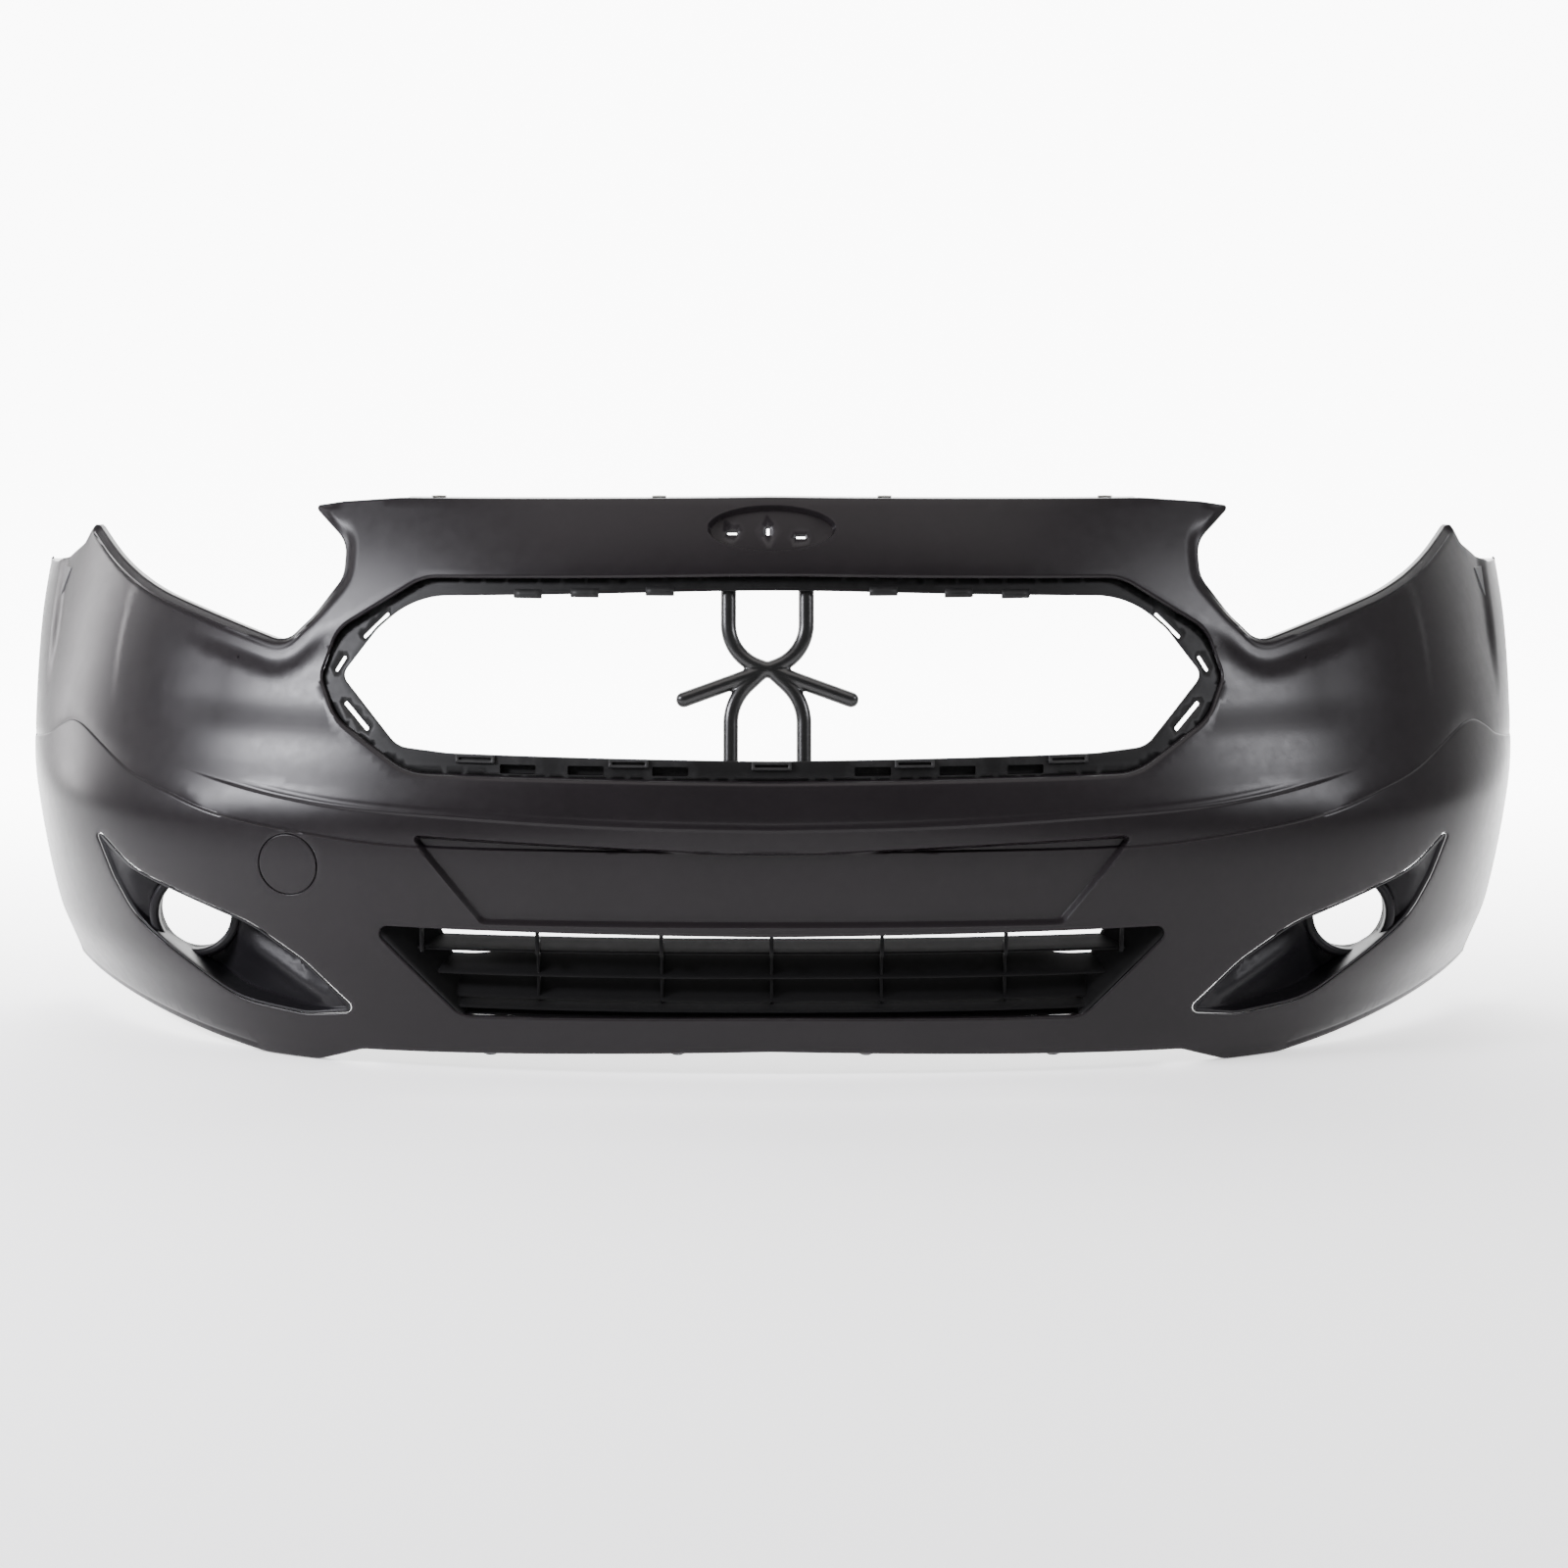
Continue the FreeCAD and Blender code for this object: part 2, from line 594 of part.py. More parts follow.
def pocket_floor(x, z):
    """Setback of the lamp pocket's floor: a ramp from the inner tip, then level, then close
    behind the skin towards the outer tip."""
    ramp = 66 + (x - 441) * 0.86
    level = dim("lamp_floor_back")
    floor = -smooth_max(-ramp, -level)
    return smooth_max(floor, skin_y(x, z) + 5, 5.0)


def ear(x, z, toward, back, clear):
    """Screw ear: a tongue that runs up or down to the piece it belongs to."""
    radius, wall = dim("ear_radius"), dim("ear_wall")
    end = z + toward
    tongue = block((x - radius, back, min(z, end)), (x + radius, back + wall, max(z, end)))
    tongue = tongue.fuse(round_bar(radius, x, z, back, wall))
    return tongue.cut(clear).cut(round_bar(dim("screw_radius") + 0.2, x, z, back - 5, 20))


def fog_bezel(side):
    """Leaf-shaped lamp bezel: a wall that lines the pocket, a floor and a collar."""
    gap, wall = dim("bezel_gap"), dim("bezel_wall")
    wire = rounded_wire(LAMP_POCKET)
    lining = prism(wire.makeOffset2D(-gap))
    inside = prism(wire.makeOffset2D(-gap - wall))
    x_range, z_range = (432, 764), (40, 246)
    volume = front_view_solid(
        lambda x, z: skin_y(x, z) + 1.0, lambda x, z: pocket_floor(x, z) + wall, x_range, z_range)
    sheet_floor = front_view_solid(
        pocket_floor, lambda x, z: pocket_floor(x, z) + wall, x_range, z_range)
    x, z = dim("lamp_offset"), dim("lamp_height")
    level = dim("lamp_floor_back")
    collar_outside = dim("carrier_radius") + 0.3 + dim("collar_wall")
    bezel = volume.common(lining.cut(inside))
    disc = round_bar(collar_outside, x, z, level, wall)
    collar = round_bar(collar_outside, x, z, level, dim("collar_length"))
    bezel = bezel.multiFuse([sheet_floor.common(lining), disc, collar])
    for place_x, place_z, toward in BEZEL_SCREWS:
        back = skin_y(place_x, place_z) + BEZEL_BOSS
        bezel = bezel.fuse(ear(place_x, place_z, toward * 32, back, inside))
    bore = round_bar(dim("carrier_radius") + 0.3, x, z, level - 6, 60)
    bezel = bezel.cut(bore)
    return bezel if side == LEFT else bezel.mirror(Vector(), Vector(1, 0, 0))


# Front edge's height, half length, front edge's depth, climb to the rear.  The last is the tray
# that closes the opening below the blades.
GRILLE_BLADES = [
    (128, 398, dim("blade_start"), dim("top_blade_rise")),
    (101, 376, dim("blade_start"), dim("blade_rise")),
    (75, 352, dim("blade_start"), dim("blade_rise")),
    (66.5, 338, dim("grille_start") + 6, 12.0),
]

RIB_PLACES = (-371, -247, -116, 0, 116, 247, 371)
CHEEK_TOP, CHEEK_BOTTOM = (424.0, 156.0), (330.0, 64.5)


def lower_grille():
    """Insert of the lower opening: three blades and a tray, seven ribs, two funnel-shaped cheeks."""
    start, end = dim("blade_start"), dim("blade_end")
    wall = dim("blade_wall")
    gap = dim("bezel_gap")
    opening = prism(lower_wire.makeOffset2D(-gap))
    pieces = []
    for front_height, half_length, front, climb in GRILLE_BLADES:
        grids = []
        for lift in (0, wall):
            rows = []
            for row in range(5):
                share = row / 4
                depth = front + (end - front) * share
                height = front_height + climb * share + lift
                reach = share_at(half_length, height)
                rows.append([skin_point(reach * c / 16, height, depth) for c in range(-16, 17)])
            grids.append(rows)
        pieces.append(solid_between(*grids))
    ribs = slab(start + 2, end)
    half = dim("rib_wall") / 2
    for x in RIB_PLACES:
        low = 66 if abs(x) < 300 else 98
        pieces.append(ribs.common(block((x - half, -50, low), (x + half, 300, 149))))
        hook = block((x - half, -50, 140), (x + half, 300, 152.5 + abs(x) * 0.01))
        pieces.append(slab(start + 2, start + 8).common(hook))
    pieces.append(slab(start, start + 12).common(block((-345, -50, 64.8), (345, 300, 68))).common(opening))
    pieces += [cheek(side).common(opening) for side in SIDES.values()]
    body = pieces[0].multiFuse(pieces[1:])
    for side in SIDES.values():
        for x, z in GRILLE_SCREWS:
            back = skin_y(x, z) + GRILLE_BOSS
            arm = block((side * x - 7, back - 22, 65.2), (side * x + 7, back + 3, 68))
            post = block((side * x - 7, back, z), (side * x + 7, back + 3, 68))
            hole = round_bar(dim("screw_radius") + 0.2, side * x, z, back - 5, 20)
            tip = round_bar(dim("ear_radius"), side * x, z, back, dim("ear_wall"))
            body = body.fuse(arm).fuse(post).fuse(tip).cut(hole)
    return body


def cheek(side):
    """Side wall of the grille: from the slanted edge of the opening it runs inward and back."""
    top, bottom = CHEEK_TOP, CHEEK_BOTTOM
    start, end, inward = dim("grille_start"), dim("blade_end"), dim("cheek_inward")
    grids = []
    for shift in (0, dim("cheek_wall")):
        rows = []
        for row in range(9):
            share = row / 8
            x_edge = bottom[0] + (top[0] - bottom[0]) * share - 1.5 - shift
            height = bottom[1] + (top[1] - bottom[1]) * share
            line = []
            for c in range(7):
                depth_share = c / 6
                x = x_edge - inward * depth_share * share - 8 * depth_share
                depth = start + (end - start) * depth_share
                point = skin_point(share_at(x, height), height, depth)
                line.append(Vector(side * point.x, point.y, point.z))
            rows.append(line)
        grids.append(rows)
    return solid_between(*grids)


BRACE_BOTTOM, BRACE_TOP = 326.0, 520.0
UPPER_BEND, LOWER_BEND, LOWER_BEND_DROP = 47.0, 56.0, 32.0


def brace_setback(height):
    """The brace lies just behind the rim, which leans back towards the top."""
    bottom, top = 328.0, 518.0
    share = (height - bottom) / (top - bottom)
    behind = dim("grille_rim_depth") + WALL + dim("brace_radius") + 2.5
    return (skin_y(0, bottom) * (1 - share) + skin_y(0, top) * share) + behind


def tube_along(route, radius):
    """Round tube along straight runs joined by tangent arcs: route is (x, height, bend)."""
    points = [Vector(x, brace_setback(z), z) for x, z, _ in route]
    edges, cursor = [], points[0]
    for index in range(1, len(route) - 1):
        arriving = (points[index] - points[index - 1]).normalize()
        leaving = (points[index + 1] - points[index]).normalize()
        turn = arriving.getAngle(leaving)
        bend = route[index][2]
        reach = bend * math.tan(turn / 2)
        inward = (leaving - arriving).normalize()
        middle = points[index] + inward * (bend / math.cos(turn / 2) - bend)
        first, last = points[index] - arriving * reach, points[index] + leaving * reach
        edges += [Part.LineSegment(cursor, first).toShape(), Part.Arc(first, middle, last).toShape()]
        cursor = last
    edges.append(Part.LineSegment(cursor, points[-1]).toShape())
    profile = Part.Wire([Part.Circle(points[0], points[1] - points[0], radius).toShape()])
    return Part.Wire(edges).makePipeShell([profile], True, True)


def centre_brace():
    """Moulded tubes that keep the upper opening in shape: two bowed pairs and two short arms."""
    middle, radius = dim("brace_offset"), dim("brace_radius")
    upper_gap, lower_gap = dim("brace_half_gap"), dim("brace_lower_half_gap")
    crossing, reach, drop = dim("brace_crossing"), dim("brace_arm_reach"), dim("brace_arm_drop")
    arm_slope = drop / reach
    tubes = []
    for side in SIDES.values():
        bend_height = crossing + upper_gap * arm_slope
        upper = [
            (middle + side * upper_gap, BRACE_TOP, 0),
            (middle + side * upper_gap, bend_height, UPPER_BEND),
            (middle - side * reach, crossing - drop, 0),
        ]
        lower = [
            (middle + side * lower_gap, BRACE_BOTTOM, 0),
            (middle + side * lower_gap, crossing - LOWER_BEND_DROP, LOWER_BEND),
            (middle, crossing + 3, 0),
        ]
        spread = side * 0.05
        tubes += [tube_along(upper, radius + spread), tube_along(lower, radius - 0.3 + spread)]
        arm_end = Vector(upper[-1][0], brace_setback(crossing - drop), crossing - drop)
        tubes.append(Part.makeSphere(radius + spread, arm_end))
    return tubes[0].multiFuse(tubes[1:])


def headlamp_bracket(side):
    """Bracket behind the headlamp notch with a shelf for the lamp's lower foot."""
    left, right = HEADLAMP_SHELF
    plate = slab(BRACKET_BOSS, BRACKET_BOSS + 3).common(block((left, 0, 416), (right, 400, 440)))
    shelf = slab(BRACKET_BOSS, 46).common(block((left + 8, 0, 437), (right - 8, 400, 440)))
    bracket = plate.fuse(shelf)
    pads = []
    for x, z in BRACKET_SCREWS:
        back = skin_y(x, z) + BRACKET_BOSS
        pads.append(round_bar(dim("ear_radius"), x, z, back, dim("ear_wall")))
    bracket = bracket.multiFuse(pads)
    for x, z in BRACKET_SCREWS:
        back = skin_y(x, z) + BRACKET_BOSS
        bracket = bracket.cut(round_bar(dim("boss_radius") + 0.4, x, z, back - 30, 30))
        bracket = bracket.cut(round_bar(dim("screw_radius") + 0.2, x, z, back - 5, 40))
        bracket = bracket.cut(round_bar(dim("screw_head_radius") + 0.5, x, z, back + dim("ear_wall"), 40))
    return bracket if side == LEFT else bracket.mirror(Vector(), Vector(1, 0, 0))


def tow_eye_cap():
    """Round cap that follows the skin, with four snap legs and a small pry notch."""
    x, z = -dim("tow_offset"), dim("tow_height")
    radius = dim("tow_radius") - dim("cap_gap")
    cap = slab(0, dim("cap_wall")).common(round_bar(radius, x, z, -50, 400))
    leg_radius = dim("tow_seat_radius") - 0.5
    legs = slab(1.0, dim("cap_leg_length")).common(
        round_bar(leg_radius, x, z, -50, 400).cut(round_bar(leg_radius - 1.8, x, z, -50, 400)))
    upright = block((x - 5, -50, z - 40), (x + 5, 400, z + 40))
    cross = upright.fuse(block((x - 40, -50, z - 5), (x + 40, 400, z + 5)))
    notch = block((x + radius - 2.0, -50, z - 4), (x + radius + 5, 400, z + 4))
    return cap.fuse(legs.common(cross)).cut(notch)


# ---------------------------------------------------------------- sub-parts of the document

nodes = []


def keep(thing, name, placement=IN_NOSE_FRAME):
    thing.Label = name
    thing.Placement = placement
    nodes.append(thing)
    return thing


def shaped(name, shape):
    """Sub-part whose freeform shape is made with Part's functions."""
    thing = document.addObject("Part::Feature", name)
    thing.Shape = shape.removeSplitter() if shape.ShapeType != "Compound" else shape.Solids[0]
    return keep(thing, name)


def cylinder(name, radius, height, place, axis=Vector(0, 0, 1)):
    """Part::Cylinder whose sizes are bound to the sheet."""
    thing = document.addObject("Part::Cylinder", name)
    thing.setExpression("Radius", radius)
    thing.setExpression("Height", height)
    thing.Placement = Placement(place, Rotation(Vector(0, 0, 1), axis))
    return thing


def fused(name, members):
    thing = document.addObject("Part::MultiFuse", name)
    thing.Shapes = members
    return thing


def cut(name, base, tool):
    thing = document.addObject("Part::Cut", name)
    thing.Base = base
    thing.Tool = tool
    return thing


def group(name, members):
    thing = document.addObject("Part::Compound", name)
    thing.Links = members
    return keep(thing, name)


def screw(name, x, z, back):
    """Pan head screw driven forward, its head on the ear's back face."""
    face = back + dim("ear_wall")
    head = cylinder(name + "_head", "Dims.screw_head_radius", "Dims.screw_head_height",
                    Vector(x, face, z), Vector(0, 1, 0))
    shank = cylinder(name + "_shank", "Dims.screw_radius - 0.05", "Dims.screw_length",
                     Vector(x, face, z), Vector(0, -1, 0))
    return fused(name, [head, shank])


def clip_nut(name, frame, flange_wall):
    """U-shaped clip nut on a flange edge.  Local x points into the flange, local z through it,
    and the flange lies between z = 0 and its wall."""
    wall, width, gap = dim("clip_wall"), dim("clip_width"), dim("clip_gap")
    lowest = -gap - wall
    members = []
    pieces = (
        ("upper", 0.0, flange_wall + gap, "Dims.clip_length", "Dims.clip_wall"),
        ("lower", 0.0, lowest, "Dims.clip_length", "Dims.clip_wall"),
        ("bend", -wall, lowest, "Dims.clip_wall", "2 * (Dims.clip_gap + Dims.clip_wall) + %s" % flange_wall),
    )
    for piece, x, z, length, height in pieces:
        plate = document.addObject("Part::Box", "%s_%s" % (name, piece))
        plate.setExpression("Length", length)
        plate.setExpression("Width", "Dims.clip_width")
        plate.setExpression("Height", height)
        plate.Placement = frame.multiply(Placement(Vector(x, -width / 2, z), Rotation()))
        members.append(plate)
    neck = placed_cylinder(name + "_neck", "Dims.clip_bolt_radius + 1.6", "3.5", frame, lowest - 3)
    hole = placed_cylinder(name + "_hole", "Dims.clip_bolt_radius", "30", frame, -12)
    return cut(name, fused(name + "_leaves", members + [neck]), hole)


def placed_cylinder(name, radius, height, frame, start):
    """Cylinder on the bolt axis of a clip nut, from a height in the clip's own frame."""
    thing = document.addObject("Part::Cylinder", name)
    thing.setExpression("Radius", radius)
    thing.setExpression("Height", height)
    thing.Placement = frame.multiply(Placement(Vector(dim("clip_hole_inset"), 0, start), Rotation()))
    return thing


def lamp_carrier(name, side):
    """Turned ring with a rear flange and three lamp bolt holes, as a PartDesign body."""
    body = document.addObject("PartDesign::Body", name)
    planes = {feature.Role: feature for feature in body.Origin.OriginFeatures}
    profile = body.newObject("Sketcher::SketchObject", name + "_profile")
    profile.AttachmentSupport = [(planes["XZ_Plane"], "")]
    profile.MapMode = "FlatFace"
    bore, tube = dim("lamp_bore_radius"), dim("carrier_radius")
    start, wall = dim("carrier_flange_start"), dim("carrier_flange_wall")
    flange, length = dim("carrier_flange_radius"), dim("carrier_length")
    corners = [
        (bore, 0), (tube, 0), (tube, start), (flange, start), (flange, start + wall),
        (tube, start + wall), (tube, length), (bore, length),
    ]
    for index, corner in enumerate(corners):
        following = corners[(index + 1) % len(corners)]
        profile.addGeometry(Part.LineSegment(Vector(*corner, 0), Vector(*following, 0)))
    for index in range(len(corners)):
        profile.addConstraint(Sketcher.Constraint("Coincident", index, 2, (index + 1) % len(corners), 1))
        way = "Horizontal" if corners[index][1] == corners[(index + 1) % len(corners)][1] else "Vertical"
        profile.addConstraint(Sketcher.Constraint(way, index))
    sizes = [
        ("DistanceX", 0, 1, bore, "Dims.lamp_bore_radius"),
        ("DistanceX", 1, 1, tube, "Dims.carrier_radius"),
        ("DistanceX", 3, 2, flange, "Dims.carrier_flange_radius"),
        ("DistanceX", 5, 2, tube, "Dims.carrier_radius"),
    ]
    profile.addConstraint(Sketcher.Constraint("PointOnObject", 0, 1, -1))
    for kind, line, end, value, expression in sizes:
        number = profile.addConstraint(Sketcher.Constraint(kind, -1, 1, line, end, value))
        profile.setExpression("Constraints[%d]" % number, expression)
    heights = [
        (1, 2, start, "Dims.carrier_flange_start"),
        (3, 2, start + wall, "Dims.carrier_flange_start + Dims.carrier_flange_wall"),
        (5, 2, length, "Dims.carrier_length"),
    ]
    for line, end, value, expression in heights:
        number = profile.addConstraint(Sketcher.Constraint("DistanceY", -1, 1, line, end, value))
        profile.setExpression("Constraints[%d]" % number, expression)
    ring = body.newObject("PartDesign::Revolution", name + "_ring")
    ring.Profile = profile
    ring.ReferenceAxis = (profile, ["V_Axis"])
    ring.Angle = 360
    document.recompute()

    bolt_sketch = body.newObject("Sketcher::SketchObject", name + "_bolt")
    bolt_sketch.AttachmentSupport = [(planes["XY_Plane"], "")]
    bolt_sketch.MapMode = "FlatFace"
    distance, bolt = dim("carrier_bolt_circle"), dim("carrier_bolt_radius")
    bolt_sketch.addGeometry(Part.Circle(Vector(0, distance, 0), Vector(0, 0, 1), bolt))
    bolt_sketch.addConstraint(Sketcher.Constraint("PointOnObject", 0, 3, -2))
    number = bolt_sketch.addConstraint(Sketcher.Constraint("DistanceY", -1, 1, 0, 3, distance))
    bolt_sketch.setExpression("Constraints[%d]" % number, "Dims.carrier_bolt_circle")
    number = bolt_sketch.addConstraint(Sketcher.Constraint("Radius", 0, bolt))
    bolt_sketch.setExpression("Constraints[%d]" % number, "Dims.carrier_bolt_radius")
    hole = body.newObject("PartDesign::Pocket", name + "_hole")
    hole.Profile = bolt_sketch
    hole.Type = "Length"
    hole.setExpression("Length", "Dims.carrier_length")
    hole.Reversed = True
    document.recompute()
    pattern = body.newObject("PartDesign::PolarPattern", name + "_holes")
    pattern.Originals = [hole]
    pattern.Axis = (bolt_sketch, ["N_Axis"])
    pattern.Angle = 360
    pattern.Occurrences = 3
    body.Tip = pattern
    document.recompute()
    front = dim("lamp_floor_back") - dim("carrier_lip") - dim("half_depth")
    place = Vector(side * dim("lamp_offset"), front, dim("lamp_height"))
    return keep(body, name, Placement(place, Rotation(Vector(1, 0, 0), -90)))


def rivet_sleeve(name, x, y):
    """Expanding sleeve of a push rivet, its head under the undertray flange."""
    under = lower_edge(x) - 0.4
    head = cylinder(name + "_head", "Dims.rivet_head_radius", "Dims.rivet_head_height",
                    Vector(x, y, under - dim("rivet_head_height")))
    tube = cylinder(name + "_tube", "Dims.rivet_sleeve_radius", "Dims.rivet_sleeve_length",
                    Vector(x, y, under - 0.5))
    solid = fused(name + "_solid", [head, tube])
    bore = cylinder(name + "_bore", "Dims.rivet_bore_radius", "2 * Dims.rivet_sleeve_length",
                    Vector(x, y, under - dim("rivet_head_height") - 2))
    return cut(name, solid, bore)


def rivet_pin(name, x, y):
    """Centre pin of a push rivet: it pulls down to release the sleeve."""
    under = lower_edge(x) - 0.4 - dim("rivet_head_height") - 0.1
    head = cylinder(name + "_head", "Dims.rivet_pin_head_radius", "Dims.rivet_pin_head_height",
                    Vector(x, y, under - dim("rivet_pin_head_height")))
    shank = cylinder(name + "_shank", "Dims.rivet_pin_radius", "Dims.rivet_pin_length",
                     Vector(x, y, under - 0.2))
    return keep(fused(name, [head, shank]), name)


shaped("cover_skin", cover_skin())
shaped("centre_brace", centre_brace())
shaped("lower_grille", lower_grille())
shaped("tow_eye_cap", tow_eye_cap())
for side_name, side in SIDES.items():
    shaped("fog_bezel_" + side_name, fog_bezel(side))
    shaped("wing_guide_" + side_name, wing_guide(side))
    shaped("headlamp_bracket_" + side_name, headlamp_bracket(side))
    lamp_carrier("fog_lamp_carrier_" + side_name, side)
    clips = [
        clip_nut("arch_clip_%s_%d" % (side_name, number), arch_clip_frame(side, angle), WALL)
        for number, angle in enumerate(ARCH_CLIP_ANGLES, start=1)
    ]
    group("arch_clip_nuts_" + side_name, clips)
    for kind in ("fog_bezel", "headlamp_bracket"):
        placed = [place for place in SCREWS if place[0] == kind and place[1] == side]
        screws = [
            screw("%s_screw_%s_%d" % (kind, side_name, number), x, z, back)
            for number, (_, _, x, z, back) in enumerate(placed, start=1)
        ]
        group("%s_screws_%s" % (kind, side_name), screws)

grille_screws = [place for place in SCREWS if place[0] == "lower_grille"]
group("lower_grille_screws", [
    screw("lower_grille_screw_%d" % number, x, z, back)
    for number, (_, _, x, z, back) in enumerate(grille_screws, start=1)
])
group("hood_flange_clip_nuts", [
    clip_nut("hood_flange_clip_%d" % number, top_clip_frame(x, y), FLANGE_WALL)
    for number, (x, y) in enumerate(top_bolt_places(), start=1)
])
group("undertray_rivet_sleeves", [
    rivet_sleeve("undertray_rivet_sleeve_%d" % number, x, y)
    for number, (x, y) in enumerate(rivet_places(), start=1)
])
for number, (x, y) in enumerate(rivet_places(), start=1):
    rivet_pin("undertray_rivet_pin_%d" % number, x, y)

document.recompute()

# ---------------------------------------------------------------- checks and files

for thing in document.Objects:
    if "Invalid" in thing.State or "Error" in thing.State:
        raise RuntimeError("%s did not recompute: %s" % (thing.Name, thing.State))
for node in nodes:
    if node.Shape.isNull() or not node.Shape.isValid():
        raise RuntimeError("%s has no valid shape" % node.Label)

os.makedirs("parts", exist_ok=True)
for node in nodes:
    node.Shape.exportStep("parts/%s.step" % node.Label)
    box = node.Shape.BoundBox
    print("%-28s %d solid(s), %9.0f mm3, x %.1f..%.1f y %.1f..%.1f z %.1f..%.1f" % (
        node.Label, len(node.Shape.Solids), node.Shape.Volume,
        box.XMin, box.XMax, box.YMin, box.YMax, box.ZMin, box.ZMax))
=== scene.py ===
import math

import bmesh
import bpy
import numpy as np
from mathutils import Matrix, Vector, kdtree
from mathutils.geometry import delaunay_2d_cdt


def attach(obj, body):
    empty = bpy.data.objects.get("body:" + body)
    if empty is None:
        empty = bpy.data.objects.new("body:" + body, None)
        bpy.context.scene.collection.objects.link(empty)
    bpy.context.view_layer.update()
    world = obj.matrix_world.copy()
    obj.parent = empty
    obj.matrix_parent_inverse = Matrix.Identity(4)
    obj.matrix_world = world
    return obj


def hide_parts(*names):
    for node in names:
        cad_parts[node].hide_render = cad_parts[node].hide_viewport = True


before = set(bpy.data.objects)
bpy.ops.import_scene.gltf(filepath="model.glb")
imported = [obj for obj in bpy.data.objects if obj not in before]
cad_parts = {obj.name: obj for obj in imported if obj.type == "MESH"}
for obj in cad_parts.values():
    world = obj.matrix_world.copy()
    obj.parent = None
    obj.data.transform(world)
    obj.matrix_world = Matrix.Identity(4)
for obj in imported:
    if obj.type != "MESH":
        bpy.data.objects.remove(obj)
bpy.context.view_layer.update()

# Front bumper cover of a small van.  Shapes are laid out in millimetres in the "nose frame" of
# the design: x to the van's left, y back from the foremost point of the skin, z up from the
# lowest edge.  place() turns them into the model's metres.

MM = 0.001
HALF_DEPTH = 312.7
LEFT, RIGHT = 1, -1
SIDES = {"left": LEFT, "right": RIGHT}
BODY = "cover"
CAP_BODY = "tow_eye_cap"


def place(points):
    """Rows of (x, y, z) in the nose frame, as an array in the model frame."""
    points = np.asarray(points, float)
    return (points - [0, HALF_DEPTH, 0]) * MM


# ---------------------------------------------------------------- the skin's surface

# height, nose setback, half width, flank setback, pull along the nose, pull along the flank, tuck
LEVELS = np.array([
    (-10, 30, 848, 640, 0.89, 0.44, 72),
    (50, 19, 853, 650, 0.87, 0.48, 40),
    (120, 9, 862, 665, 0.83, 0.57, 8),
    (255, 0, 888, 700, 0.68, 0.71, 0),
    (335, 18, 899, 720, 0.60, 0.67, 0),
    (440, 44, 898, 740, 0.58, 0.57, 0),
    (540, 76, 880, 760, 0.55, 0.52, 0),
    (640, 127, 860, 780, 0.52, 0.51, 0),
], float)
TUCK_PEAK = 0.03456  # largest value of share**3 * (1 - share)**2, where the tuck is in full
ARCH_BACK, ARCH_HEIGHT, ARCH_RADIUS = 900.0, 177.0, 430.0
SPAN = 1400.0  # rough length of half a section: the sheet's flat coordinate is SPAN * share


def hermite(t, start, slope_start, end, slope_end):
    """Smooth curve from a start to an end, at a share t of the way."""
    return (
        (2 * t**3 - 3 * t**2 + 1) * start + (t**3 - 2 * t**2 + t) * slope_start
        + (3 * t**2 - 2 * t**3) * end + (t**3 - t**2) * slope_end)


def sections_at(heights):
    """Section values at some heights, on a smooth curve through the levels."""
    z = np.asarray(heights, float)
    last = len(LEVELS) - 2
    index = np.clip(np.searchsorted(LEVELS[:, 0], z, side="right") - 1, 0, last)
    low, high = LEVELS[index], LEVELS[index + 1]
    before, after = LEVELS[np.maximum(index - 1, 0)], LEVELS[np.minimum(index + 2, last + 1)]
    step = (high - low)[..., :1]
    slope_low = (high - before) / (high - before)[..., :1] * step
    slope_high = (after - low) / (after - low)[..., :1] * step
    t = (z[..., None] - low[..., :1]) / step
    return np.moveaxis(hermite(t, low, slope_low, high, slope_high), -1, 0)[1:]


def outer_points(shares, heights):
    """Points of the outer face: a share of 0 is the middle of the nose, 1 or -1 the flank."""
    shares, heights = np.broadcast_arrays(np.asarray(shares, float), np.asarray(heights, float))
    nose, half_width, flank, nose_pull, flank_pull, tuck = sections_at(heights)
    u = np.abs(shares)
    b1, b2, b3 = 3 * (1 - u) ** 2 * u, 3 * (1 - u) * u**2, u**3
    x = (b1 * nose_pull + b2 + b3) * half_width - tuck * u**3 * (1 - u) ** 2 / TUCK_PEAK
    y = nose + (b2 * (1 - flank_pull) + b3) * (flank - nose)
    return np.stack([np.copysign(x, shares), y, heights], -1)


def inward_normals(shares, heights):
    """Unit vectors from the outer face into the skin."""
    step = 1e-3
    shares, heights = np.broadcast_arrays(np.asarray(shares, float), np.asarray(heights, float))
    across = outer_points(shares + step, heights) - outer_points(shares - step, heights)
    upward = outer_points(shares, heights + 1) - outer_points(shares, heights - 1)
    normals = np.cross(upward, across)
    return normals / np.linalg.norm(normals, axis=-1, keepdims=True)


def skin_points(shares, heights, depths):
    """Points at depths behind the outer face."""
    depths = np.asarray(depths, float)
    return outer_points(shares, heights) + inward_normals(shares, heights) * depths[..., None]


def find_share(reached, goal):
    """Share of 0..1 at which a rising function reaches its goal, by halving."""
    low, high = np.zeros_like(goal), np.ones_like(goal)
    for _ in range(40):
        middle = (low + high) / 2
        short = reached(middle) < goal
        low, high = np.where(short, middle, low), np.where(short, high, middle)
    return (low + high) / 2


def shares_at(x, heights):
    """Shares at which sections at some heights pass distances from the middle."""
    x, heights = np.broadcast_arrays(np.asarray(x, float), np.asarray(heights, float))
    return np.copysign(find_share(lambda u: outer_points(u, heights)[..., 0], np.abs(x)), x)


def skin_y(x, heights):
    """Setback of the outer face at places in the front view."""
    return outer_points(shares_at(x, heights), heights)[..., 1]


def skin_y_at(x, height):
    return float(skin_y(np.array([float(x)]), np.array([float(height)]))[0])


